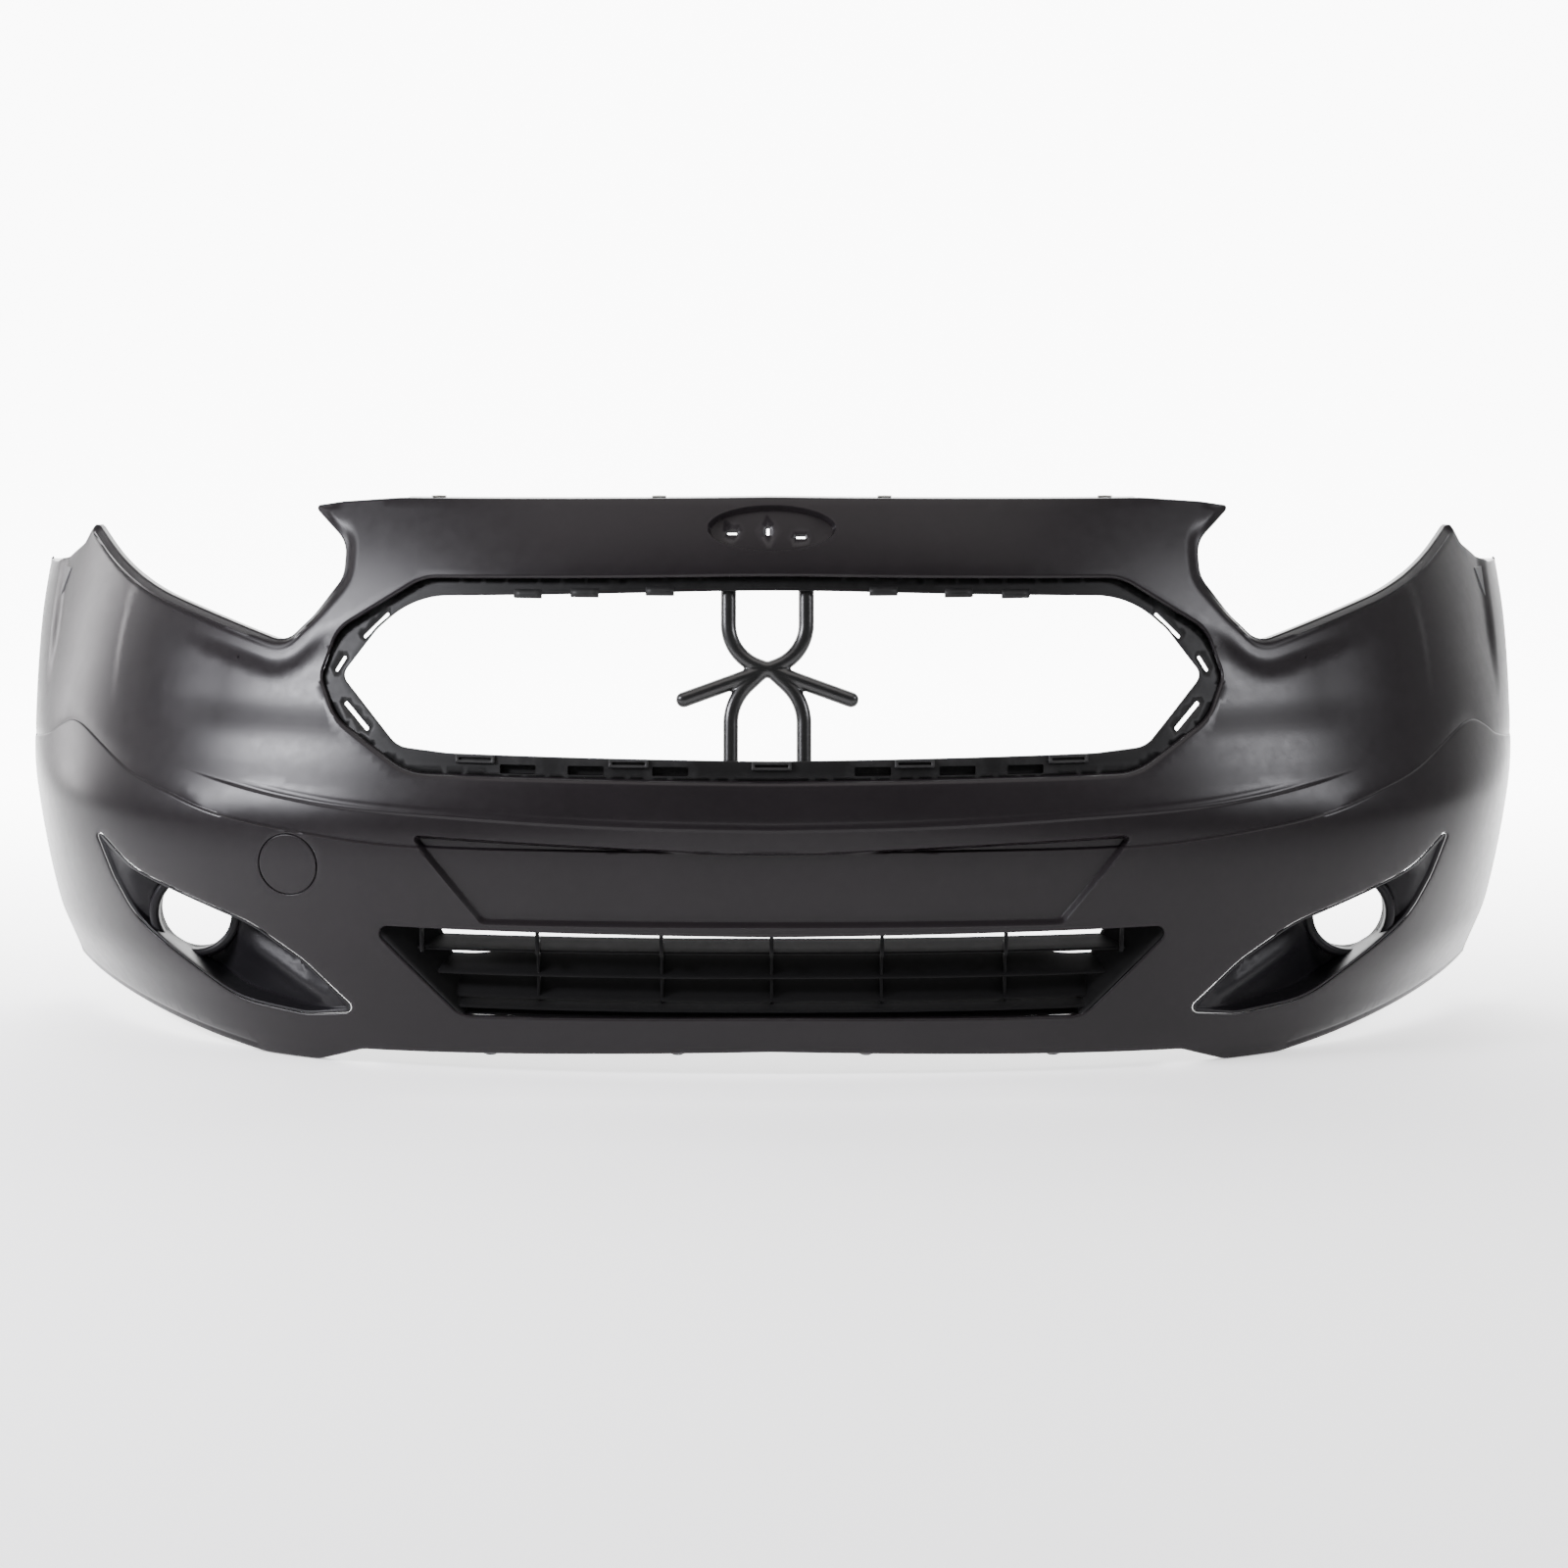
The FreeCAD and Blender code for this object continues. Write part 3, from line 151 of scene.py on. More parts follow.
# ---------------------------------------------------------------- outlines in the front view

# Points of the van's left half, each with its corner radius: x, height, radius.
TOP_TO_WING = [
    (0, 608, 0), (400, 603, 300), (506, 594, 4),
    (463, 556, 30), (465, 519, 28), (528, 449, 24), (722, 505, 300), (791, 558, 4),
    (806, 534, 15), (850, 506, 25), (960, 502, 0),
]
BOTTOM_FROM_ARCH = [
    (960, 72, 0), (754, 35, 200), (620, 11, 150), (552, 0, 60), (490, 0, 25),
    (440, 16.5, 30), (0, 26, 0),
]
UPPER_OPENING = [
    (0, 526, 3000), (372, 519, 60), (466, 462, 45), (484, 414, 22), (466, 372, 45),
    (385, 319, 70), (0, 315.5, 3000),
]
UPPER_RIM = [
    (0, 513, 3000), (382, 501, 105), (424, 465, 60), (463, 415, 12), (398, 343, 30),
    (343, 338, 100), (0, 334, 3000),
]
PLATE_RECESS = [(0, 241, 3000), (383, 257, 5), (306, 163, 10), (0, 163, 0)]
LOWER_OPENING = [(0, 152.5, 3000), (427, 157.5, 8), (330, 61, 34), (0, 64, 3000)]
LAMP_POCKET = [
    (754, 238, 4), (700, 197, 120), (560, 153, 160), (500, 115, 120), (441, 59, 7),
    (500, 52, 60), (580, 61, 110), (700, 139, 120), (728, 183, 70),
]
TOW_X, TOW_Z, TOW_RADIUS = -515.0, 219.0, 33.0
BADGE_Z, BADGE_WIDTH, BADGE_HEIGHT = 575.5, 68.0, 23.5
# x, height, half width, half height
BADGE_SLOTS = [(-42, 573, 5, 1.5), (31, 569, 5, 1.5), (-4, 575, 1.5, 4)]


def both_halves(half):
    return half + [(-x, z, radius) for x, z, radius in reversed(half) if x]


def unit(vectors):
    return vectors / np.linalg.norm(vectors, axis=-1, keepdims=True)


def corner_arc(before, corner, after, radius, spacing):
    """Points round one corner of an outline."""
    arriving, leaving = unit(corner - before), unit(after - corner)
    turn = math.acos(max(-1.0, min(1.0, float(arriving @ leaving))))
    if radius == 0 or turn < 1e-4:
        return [corner]
    centre = corner + unit(leaving - arriving) * radius / math.cos(turn / 2)
    first = corner - arriving * radius * math.tan(turn / 2) - centre
    way = 1 if arriving[0] * leaving[1] - arriving[1] * leaving[0] > 0 else -1
    steps = max(2, math.ceil(radius * turn / min(spacing, 0.4 * radius)))
    arc = []
    for number in range(steps + 1):
        angle = way * turn * number / steps
        cosine, sine = math.cos(angle), math.sin(angle)
        swung = [first[0] * cosine - first[1] * sine, first[0] * sine + first[1] * cosine]
        arc.append(centre + swung)
    return arc


def rounded(outline, spacing, closed=True):
    """Points along an outline with rounded corners, about one spacing apart."""
    corners = np.array([(x, z) for x, z, _ in outline], float)
    count = len(outline)
    stretches = []
    for index, (_, _, radius) in enumerate(outline):
        if not closed and index in (0, count - 1):
            stretches.append([corners[index]])
        else:
            after = corners[(index + 1) % count]
            stretches.append(corner_arc(corners[index - 1], corners[index], after, radius, spacing))
    points = []
    for index, stretch in enumerate(stretches):
        points += stretch
        if closed or index < count - 1:
            end, start = stretch[-1], stretches[(index + 1) % count][0]
            pieces = max(1, math.ceil(np.linalg.norm(start - end) / spacing))
            points += [end + (start - end) * number / pieces for number in range(1, pieces)]
    return tidy_loop(np.array(points), closed)


def tidy_loop(points, closed):
    """Drops points that lie on the one before."""
    kept = [points[0]]
    for point in points[1:]:
        if np.linalg.norm(point - kept[-1]) > 0.2:
            kept.append(point)
    if closed and np.linalg.norm(kept[0] - kept[-1]) < 0.2:
        kept.pop()
    return np.array(kept)


def turned_left(loop, left=True):
    """A closed loop with its inside on the left, or on the right."""
    following = np.roll(loop, -1, axis=0)
    area = np.sum(loop[:, 0] * following[:, 1] - following[:, 0] * loop[:, 1])
    return loop if (area > 0) == left else loop[::-1]


def beside(line, along, margin):
    """A row of points moved to the right of its run by a margin."""
    return line + unit(np.stack([along[:, 1], -along[:, 0]], -1)) * margin


def grown(loop, margin):
    """A closed loop moved outward by a margin, or inward where it is negative."""
    loop = turned_left(loop)
    return beside(loop, np.roll(loop, -1, axis=0) - np.roll(loop, 1, axis=0), margin)


def grown_like(clockwise, margin):
    """grown() for a loop that has its inside on the right, in the same order."""
    return grown(clockwise[::-1], margin)[::-1]


def closed_row(loop):
    """A loop as a row of points that ends where it starts."""
    return np.concatenate([loop, loop[:1]])


def inside(points, loop):
    """Which points lie within a closed loop."""
    x, z = points[:, 0][:, None], points[:, 1][:, None]
    x1, z1 = loop[:, 0], loop[:, 1]
    x2, z2 = np.roll(x1, -1), np.roll(z1, -1)
    crossing = (z1 > z) != (z2 > z)
    with np.errstate(divide="ignore", invalid="ignore"):
        at = x1 + (z - z1) * (x2 - x1) / np.where(z2 == z1, 1, z2 - z1)
    return (np.sum(crossing & (x < at), axis=1) % 2) == 1


def gap_to(points, line, closed=True):
    """Distance from each point to a polyline."""
    starts = line if closed else line[:-1]
    ends = np.roll(line, -1, axis=0) if closed else line[1:]
    nearest = np.full(len(points), np.inf)
    for start, end in zip(starts, ends):
        run = end - start
        share = np.clip((points - start) @ run / max(run @ run, 1e-9), 0, 1)
        nearest = np.minimum(nearest, np.linalg.norm(points - start - share[:, None] * run, axis=1))
    return nearest


def smoothstep(value):
    value = np.clip(value, 0, 1)
    return value * value * (3 - 2 * value)


def to_sheet(front):
    """Front view points in the sheet's flat coordinates: share times SPAN, height."""
    front = np.asarray(front, float)
    return np.stack([shares_at(front[:, 0], front[:, 1]) * SPAN, front[:, 1]], -1)


def oval(x, z, half_x, half_z, count):
    angles = np.linspace(0, 2 * math.pi, count, endpoint=False)
    return np.stack([x + half_x * np.cos(angles), z + half_z * np.sin(angles)], -1)


def circle(x, z, radius, count=72):
    return oval(x, z, radius, radius, count)


# ---------------------------------------------------------------- outer edge of the skin

EDGE_SPACING = 6.0
WING_END = 504.8                         # height at which the wing's edge meets the arch
WING_LINE = (850, 506), (960, 502)
SILL_LINE = (754, 35), (960, 72)
SHARE_GAP = 0.006                        # from the end of a front view stretch to the flank's


def arch_share(angle):
    """Share and height of the wheel arch edge at an angle round its axis."""
    y = ARCH_BACK + ARCH_RADIUS * math.cos(angle)
    z = ARCH_HEIGHT + ARCH_RADIUS * math.sin(angle)
    goal = np.array([y])
    return float(find_share(lambda u: outer_points(u, np.full_like(u, z))[..., 1], goal)[0]), z


def height_on(line, x):
    """Height of the straight line through two front view points."""
    (x1, z1), (x2, z2) = line
    return z1 + (z2 - z1) * (x - x1) / (x2 - x1)


def edge_on_flank(line, share_from, share_to, steps):
    """Edge that is a straight line in the front view, followed along the flank."""
    points = []
    for number in range(steps + 1):
        share = share_from + (share_to - share_from) * number / steps
        height = line[0][1]
        for _ in range(8):
            height = height_on(line, outer_points(share, height)[0])
        points.append((share * SPAN, height))
    return points


def outer_edge_half():
    """The left half of the outline in sheet coordinates, from the top middle to the bottom."""
    top = rounded(TOP_TO_WING, EDGE_SPACING, closed=False)
    top = top[top[:, 0] < 857]
    bottom = rounded(BOTTOM_FROM_ARCH, EDGE_SPACING, closed=False)
    bottom = bottom[bottom[:, 0] < 800]
    top_angle = math.pi - math.asin((WING_END - ARCH_HEIGHT) / ARCH_RADIUS)
    share_top, _ = arch_share(top_angle)
    wanted = 50.0
    for _ in range(21):
        bottom_angle = math.pi + math.asin((ARCH_HEIGHT - wanted) / ARCH_RADIUS)
        share_low, height_low = arch_share(bottom_angle)
        wanted = height_on(SILL_LINE, outer_points(share_low, height_low)[0])
    start = to_sheet(top[-1:])[0][0] / SPAN
    wing = edge_on_flank(WING_LINE, start + SHARE_GAP, share_top, 40)
    count = math.ceil((bottom_angle - top_angle) * ARCH_RADIUS / EDGE_SPACING)
    arch = []
    for number in range(1, count):
        share, height = arch_share(top_angle + (bottom_angle - top_angle) * number / count)
        arch.append((share * SPAN, height))
    start = to_sheet(bottom[:1])[0][0] / SPAN
    sill = edge_on_flank(SILL_LINE, share_low, start + SHARE_GAP, 26)
    points = np.concatenate([to_sheet(top), wing, arch, sill, to_sheet(bottom)])
    points[0][0] = points[-1][0] = 0.0
    return points, len(top) + len(wing) + len(arch)


EDGE_HALF, ARCH_END = outer_edge_half()
# the whole outline with its inside on the left: from the bottom middle by the left side
OUTER_LOOP = np.concatenate([EDGE_HALF[::-1], EDGE_HALF[1:-1] * [-1, 1]])
SILL = EDGE_HALF[ARCH_END:]


def on_arch(points, reach=1.0):
    radius = np.hypot(points[:, 1] - ARCH_BACK, points[:, 2] - ARCH_HEIGHT)
    return np.abs(radius - ARCH_RADIUS) < reach


def edge_directions(loop):
    """Which way the turned-in edge runs from each outline point: level, into the skin, and
    straight across the van round the wheel arch."""
    shares, heights = loop[:, 0] / SPAN, loop[:, 1]
    points = outer_points(shares, heights)
    level = unit(inward_normals(shares, heights) * [1, 1, 0])
    turned = smoothstep((np.abs(points[:, 0]) - 420) / 50)[:, None]
    ways = np.array([0.0, 1.0, 0.0]) * (1 - turned) + level * turned
    across = np.stack([-np.sign(points[:, 0]), 0 * shares, 0 * shares], -1)
    return unit(np.where(on_arch(points)[:, None], across, ways))


# ---------------------------------------------------------------- relief of the skin


def style_line(points):
    """Smooth height of a style line over the sheet's flat coordinate, from given points."""
    flat = to_sheet(np.array(points, float))
    dense = []
    count = len(flat)
    for index in range(count - 1):
        before, start = flat[max(index - 1, 0)], flat[index]
        end, after = flat[index + 1], flat[min(index + 2, count - 1)]
        for number in range(8):
            t = number / 8
            run = end[0] - start[0]
            slope_start = (end[1] - before[1]) / (end[0] - before[0]) * run
            slope_end = (after[1] - start[1]) / (after[0] - start[0]) * run
            dense.append((start[0] + run * t, hermite(t, start[1], slope_start, end[1], slope_end)))
    dense.append(tuple(flat[-1]))
    return np.array(dense)


CREASE = style_line([
    (0, 266), (160, 269), (326, 276), (448, 282), (521, 290), (589, 301), (648, 313)])
GROOVE = style_line([
    (0, 243), (200, 243), (393, 245), (507, 255), (603, 269), (657, 285), (709, 302), (753, 326),
    (780, 340), (797, 342), (815, 333), (833, 320), (870, 305)])


def line_height(line, flat):
    return np.interp(np.abs(flat), line[:, 0], line[:, 1])


def notch_edge():
    """The stretch of the outline round the headlamp notch, from the beam to the wing's tip."""
    x = outer_points(EDGE_HALF[:, 0] / SPAN, EDGE_HALF[:, 1])[:, 0]
    beyond = np.nonzero(x > 420)[0][0]
    tip = np.nonzero(x > 788)[0][0]
    return EDGE_HALF[beyond:tip]


NOTCH = notch_edge()
PLATE_LOOP = rounded(both_halves(PLATE_RECESS), 5.0)


def bump(distance, width):
    """Soft ridge across a distance of zero."""
    return np.exp(-((distance / width) ** 2))


def rise(values, start, width):
    """Soft step from 0 at a start to 1, one width on.  A negative width falls from 1 to 0."""
    step = smoothstep((values - start) / abs(width))
    return step if width > 0 else 1 - step


def style_relief(flat, heights, x):
    """The band that steps in below the crease, its raised lip, and the groove under it."""
    below_crease = line_height(CREASE, flat) - heights
    below_groove = line_height(GROOVE, flat) - heights
    between = line_height(CREASE, flat) - line_height(GROOVE, flat)
    lean = np.clip(below_crease / np.maximum(between, 1), 0, 1)
    over_groove = 1 - smoothstep(below_groove / 2.2 + 0.35)
    band = 3.6 * rise(x, 560, -100) * (0.4 + 0.6 * lean) * rise(below_crease, -0.5, 2.6)
    groove = 1.7 * np.exp(np.minimum(below_groove, 0) / 7.0) * over_groove
    lip = 0.9 * bump(below_crease + 4.6, 2.4) * rise(x, 520, -60)
    return np.maximum(band * over_groove, groove) + lip


def recess_relief(front):
    """The number plate's recess and the badge's."""
    within, edge = inside(front, PLATE_LOOP), gap_to(front, PLATE_LOOP)
    plate = np.where(within, 9.0 * smoothstep(edge / 4.0), 0)
    x, height = front[:, 0], front[:, 1] - BADGE_Z
    ratio = np.hypot(x / BADGE_WIDTH, height / BADGE_HEIGHT)
    slope = np.hypot(x / BADGE_WIDTH**2, height / BADGE_HEIGHT**2)
    within_badge = (1 - ratio) * np.maximum(ratio, 1e-3) / np.maximum(slope, 1e-6)
    return plate + 8.0 * smoothstep(np.where(ratio < 0.5, 99, within_badge) / 3.0)


def arch_relief(shares, heights, y):
    """The wing stands proud round the wheel arch, and falls away beyond it."""
    radius = np.hypot(y - ARCH_BACK, heights - ARCH_HEIGHT) - ARCH_RADIUS
    flare = rise(radius, 52, 18) * np.exp(-np.maximum(radius - 70, 0) / 70) * rise(heights, 350, 90)
    return np.where(np.abs(shares) > 0.6, 5.0 * flare, 0)


def notch_relief(gap, heights, x):
    """Round the headlamp notch: a sunk rim, a fine channel, and the hollows beside and below it."""
    high = rise(heights, 430, 30)
    rim = 7.0 * np.clip((9.0 - gap) / 9.0, 0, 1) * rise(x, 462, 40) * high
    channel = 1.2 * bump(gap - 10.5, 1.6) * rise(x, 470, 40) * high
    strut = 3.6 * rise(gap, 3, -17) * rise(x, 425, 20) * rise(x, 500, -30)
    strut *= rise(heights, 452, 30) * rise(heights, 555, -25)
    waist = 5.2 * rise(gap, 21, 24) * rise(x, 400, 60) * rise(x, 600, -100)
    waist *= rise(heights, 342, 52) * rise(heights, 425, -50)
    return rim * (x > 440) + channel + strut + waist


def relief(flat, heights):
    """How far the face lies behind the smooth surface: style lines, recesses and edge bands."""
    shares = flat / SPAN
    points = outer_points(shares, heights)
    x = np.abs(points[:, 0])
    sheet_places = np.stack([np.abs(flat), heights], -1)
    notch_gap, sill_gap = (gap_to(sheet_places, edge, closed=False) for edge in (NOTCH, SILL))
    return (
        style_relief(flat, heights, x)
        + recess_relief(np.stack([points[:, 0], heights], -1))
        + arch_relief(shares, heights, points[:, 1])
        + notch_relief(notch_gap, heights, x)
        + 1.1 * bump(sill_gap - 8, 2.0) * rise(x, 470, 60))


# ---------------------------------------------------------------- flat sheets bent into shape


def triangulated(loops, lines, spacing):
    """Triangles of a flat area: inside the first loop and outside the others, with rows of
    points along the given lines and a regular grid between.  Returns points, triangles and,
    for each loop, the numbers of its points."""
    points, edges, spans = [], [], []
    for line, closed in [(loop, True) for loop in loops] + [(line, False) for line in lines]:
        start, count = len(points), len(line)
        points += [tuple(point) for point in line]
        edges += [(start + n, start + (n + 1) % count) for n in range(count if closed else count - 1)]
        if closed:
            spans.append(range(start, start + count))
    tree = kdtree.KDTree(len(points))
    for number, point in enumerate(points):
        tree.insert((*point, 0), number)
    tree.balance()

    def in_area(places):
        keep = inside(places, loops[0])
        for hole in loops[1:]:
            keep &= ~inside(places, hole)
        return keep

    low, high = loops[0].min(axis=0), loops[0].max(axis=0)
    width, rise_up = high - low
    rows = max(2, round(rise_up / spacing))
    columns = max(2, 2 * round(width / spacing / 2))
    grid = [
        (low[0] + width * (column + 0.5 * (row % 2)) / columns, low[1] + rise_up * row / rows)
        for row in range(rows + 1) for column in range(columns + 1)
    ]
    grid = np.array([place for place in grid if tree.find((*place, 0))[2] > 0.62 * spacing])
    if len(grid):
        points += [tuple(point) for point in grid[in_area(grid)]]
    found, _, faces, origins, _, _ = delaunay_2d_cdt([Vector(p) for p in points], edges, [], 0, 1e-5)
    found = np.array([(p.x, p.y) for p in found])
    where = {source: number for number, sources in enumerate(origins) for source in sources}
    faces = np.array([face for face in faces if len(face) == 3])
    first, second, third = (found[faces[:, corner]] for corner in range(3))
    area = np.cross(second - first, third - first)
    keep = in_area(found[faces].mean(axis=1)) & (np.abs(area) > 1e-6)
    faces = np.where((area > 0)[:, None], faces, faces[:, ::-1])[keep]
    return found, faces, [[where[number] for number in span] for span in spans]


class Shell:
    """A mesh under construction, in nose frame millimetres."""

    def __init__(self):
        self.points, self.faces = [], []

    def add(self, points, faces=()):
        start = len(self.points)
        self.points += [tuple(point) for point in points]
        self.faces += [tuple(start + corner for corner in face) for face in faces]
        return list(range(start, len(self.points)))

    def ring_on(self, previous, positions):
        """Adds a ring of points and the band of faces from the previous ring to it."""
        ring = self.add(positions)
        for n in range(len(ring)):
            following = (n + 1) % len(ring)
            self.faces.append((previous[following], previous[n], ring[n], ring[following]))
        return ring

    def loft(self, rings, joined=False):
        """Bands of faces from ring to ring.  The ends are capped, or joined to each other."""
        rings = [self.add(ring) for ring in rings]
        for near, far in zip(rings, rings[1:] + rings[:1] if joined else rings[1:]):
            for n in range(len(near)):
                following = (n + 1) % len(near)
                self.faces.append((near[n], near[following], far[following], far[n]))
        if not joined:
            self.faces += [tuple(reversed(rings[0])), tuple(rings[-1])]

    def finish(self, name, material, node, slot="moulded_black", body=BODY, wall=None, weld=0.02):
        """Makes the piece that stands for a CAD node, with a wall behind its face if it needs one."""
        mesh = bpy.data.meshes.new(name)
        mesh.from_pydata([tuple(p) for p in place(self.points)], [], self.faces)
        work = bmesh.new()
        work.from_mesh(mesh)
        bmesh.ops.remove_doubles(work, verts=work.verts, dist=weld * MM)
        loose = [vert for vert in work.verts if not vert.link_faces]
        bmesh.ops.delete(work, geom=loose, context="VERTS")
        work.to_mesh(mesh)
        work.free()
        mesh.validate()
        mesh.shade_smooth()
        mesh.set_sharp_from_angle(angle=math.radians(38))
        piece = bpy.data.objects.new(name, mesh)
        bpy.context.scene.collection.objects.link(piece)
        piece.data.materials.append(material)
        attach(piece, body)
        if wall:
            solidify = piece.modifiers.new("wall", "SOLIDIFY")
            solidify.thickness = wall * MM
            solidify.offset = -1
            solidify.use_even_offset = False
        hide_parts(node)
        return piece


# ---------------------------------------------------------------- materials


class Nodes:
    """Adds shader nodes to a new material and links them."""

    def __init__(self, name):
        self.material = bpy.data.materials.new(name)
        self.material.use_nodes = True
        self.tree = self.material.node_tree
        self.shader = self.tree.nodes["Principled BSDF"]

    def fill(self, node, inputs):
        """Gives a node's inputs their values, or links them where the value is an output."""
        for key, value in inputs.items():
            if isinstance(value, bpy.types.NodeSocket):
                self.tree.links.new(value, node.inputs[key])
            else:
                node.inputs[key].default_value = value

    def add(self, kind, inputs, output=0, **settings):
        node = self.tree.nodes.new("ShaderNode" + kind)
        for key, value in settings.items():
            setattr(node, key, value)
        self.fill(node, inputs)
        return node.outputs[output]

    def ramp(self, source, places, colours=None):
        output = self.add("ValToRGB", {"Fac": source}, "Color")
        elements = output.node.color_ramp.elements
        for number, position in enumerate(places):
            elements[number].position = position
            if colours:
                elements[number].color = colours[number]
        return output


def plastic(name, colour, roughness, grain_scale, grain_depth, tint=0.25, specular=0.5):
    """Moulded plastic: fine grain, soft mottling in colour and gloss, and lighter worn edges."""
    nodes = Nodes(name)
    where = nodes.add("TexCoord", {}, "Object")

    def noise(scale, detail, rough=0.55):
        settings = {"Scale": scale, "Detail": detail, "Roughness": rough, "Vector": where}
        return nodes.add("TexNoise", settings, "Fac")

    mottle, scuffs, grain = noise(9.0, 5.0), noise(70.0, 8.0, 0.7), noise(grain_scale, 3.0)
    shades = [(*[c * (1 + way * tint) for c in colour], 1) for way in (-1, 1)]
    base = nodes.ramp(mottle, (0.3, 0.75), shades)
    edges = nodes.ramp(nodes.add("NewGeometry", {}, "Pointiness"), (0.52, 0.62))
    wear = nodes.add("Math", {0: edges, 1: scuffs}, operation="MULTIPLY")
    bare = (*[min(1, c * 2.2 + 0.02) for c in colour], 1)
    worn = nodes.add("Mix", {"Factor": wear, "A": base, "B": bare}, "Result", data_type="RGBA")
    gloss = {"To Min": roughness - 0.07, "To Max": roughness + 0.09, "Value": scuffs}
    bumps = {"Strength": 0.35, "Distance": grain_depth * MM, "Height": grain}
    nodes.fill(nodes.shader, {
        "Specular IOR Level": specular,
        "Coat Weight": 0.0,
        "Coat Roughness": 0.35,
        "Base Color": worn,
        "Roughness": nodes.add("MapRange", gloss, "Result"),
        "Normal": nodes.add("Bump", bumps, "Normal"),
    })
    return nodes.material


def metal(name, colour, roughness, streak_scale):
    """Plated steel with streaks, dull patches and a little pitting."""
    material = plastic(name, colour, roughness, streak_scale, 0.05, tint=0.18)
    material.node_tree.nodes["Principled BSDF"].inputs["Metallic"].default_value = 1.0
    return material


SATIN_BLACK = plastic(
    "moulded_black", (0.0072, 0.0058, 0.0068), 0.31, 900.0, 0.05, tint=0.12, specular=0.2)
BEZEL_BLACK = plastic(
    "bezel_black", (0.0055, 0.005, 0.0062), 0.42, 900.0, 0.05, tint=0.12, specular=0.16)
# The grille rim is part of the skin moulding. Its base colour is made darker than the skin's as painted
# shade for the rim that sits back in the opening's shadow. Its higher roughness and lower specular are
# the rim's own finish.
RIM_PAINTED_SHADE_BLACK = plastic("rim_black_painted_shade", (0.004, 0.004, 0.0042), 0.45, 900.0, 0.06, specular=0.16)
GRILLE_BLACK = plastic("grille_black", (0.003, 0.003, 0.0032), 0.68, 1100.0, 0.08, specular=0.07)
BRACE_BLACK = plastic("brace_black", (0.002, 0.002, 0.0022), 0.30, 500.0, 0.05)
GUIDE_BLACK = plastic("guide_nylon", (0.03, 0.03, 0.032), 0.5, 700.0, 0.06)
RIVET_BLACK = plastic("rivet_nylon", (0.02, 0.02, 0.022), 0.42, 600.0, 0.03)
SPRING_STEEL = metal("spring_steel", (0.42, 0.41, 0.38), 0.42, 400.0)
SCREW_STEEL = metal("screw_steel", (0.12, 0.12, 0.13), 0.38, 300.0)


# ---------------------------------------------------------------- cover skin

OUTER_ROUND = 2.6    # rounding of the outline's edge
RETURN_DEPTH = 12.0
ROUND_STEPS = 4
GRID = 7.5


def along_y(front, depth):
    """Front view points on the skin, moved straight back by a depth."""
    return np.stack([front[:, 0], skin_y(front[:, 0], front[:, 1]) + depth, front[:, 1]], -1)


def edge_rows(line, offsets):
    """Rows of points that follow a style line on both halves, at distances below it."""
    reach = line[:, 0].max()
    flat = np.arange(-reach, reach + 1, 6.0)
    return [np.stack([flat, line_height(line, flat) - offset], -1) for offset in offsets]


# each opening's edge rounding and the depth of its wall
OPENING_EDGES = {
    "upper": (5.0, 12.0), "lower": (2.5, 12.0), "pocket_left": (2.5, 12.0),
    "pocket_right": (2.5, 12.0), "tow": (1.2, 4.0),
}


def opening_loops():
    """The openings in the front view."""
    upper, lower = (rounded(both_halves(half), 5.0) for half in (UPPER_OPENING, LOWER_OPENING))
    loops = {"upper": upper, "lower": lower}
    for name, side in SIDES.items():
        pocket = [(side * x, z, radius) for x, z, radius in LAMP_POCKET]
        loops["pocket_" + name] = rounded(pocket, 4.0)
    loops["tow"] = circle(TOW_X, TOW_Z, TOW_RADIUS)
    return {name: turned_left(loop) for name, loop in loops.items()}


# rows of points that catch the relief, at distances from its lines
CREASE_ROWS = (-9.5, -7.0, -4.8, -2.6, -0.5, 0.6, 1.8, 3.0, 6.0)
GROOVE_ROWS = (-4.0, -1.5, -0.8, 0.0, 0.7, 1.6, 3.5)
PLATE_ROWS = (-1.5, 0.0, 1.3, 2.7, 4.0, 6.0)
BADGE_ROWS = (-1.5, 0.0, 1.0, 2.0, 3.0, 5.0)
NOTCH_ROWS = (3.0, 6.0, 8.5, 10.5, 12.5, 15.5, 19.0, 22.0, 25.0, 28.5, 32.5, 37.0)
SILL_ROWS = (4.0, 6.5, 8.0, 9.5, 12.0)


def inner_row(edge, inset):
    """A row of points that follows a stretch of the outline on the skin's side."""
    row = beside(edge, np.gradient(edge, axis=0), inset)
    return row[gap_to(row, edge, closed=False) > inset - 0.3]


def relief_rows(tow_zone):
    """Rows of points along everything that stands out of or into the skin's face."""
    lines = edge_rows(CREASE, CREASE_ROWS) + edge_rows(GROOVE, GROOVE_ROWS)
    lines = [row for line in lines for row in outside_pieces(line, tow_zone)]
    lines += [closed_row(to_sheet(grown(PLATE_LOOP, -inset))) for inset in PLATE_ROWS]
    for inset in BADGE_ROWS:
        half_x, half_z = BADGE_WIDTH - inset, BADGE_HEIGHT - inset
        lines.append(closed_row(to_sheet(oval(0, BADGE_Z, half_x, half_z, 72))))
    rows = [inner_row(NOTCH, inset) for inset in NOTCH_ROWS]
    for row in [inner_row(SILL, inset) for inset in SILL_ROWS]:
        rows.append(row[(row[:, 0] > 520) & (row[:, 0] < SILL[0][0] - 14)])
    for row in rows:
        lines += [row, row * [-1, 1]]
    return lines


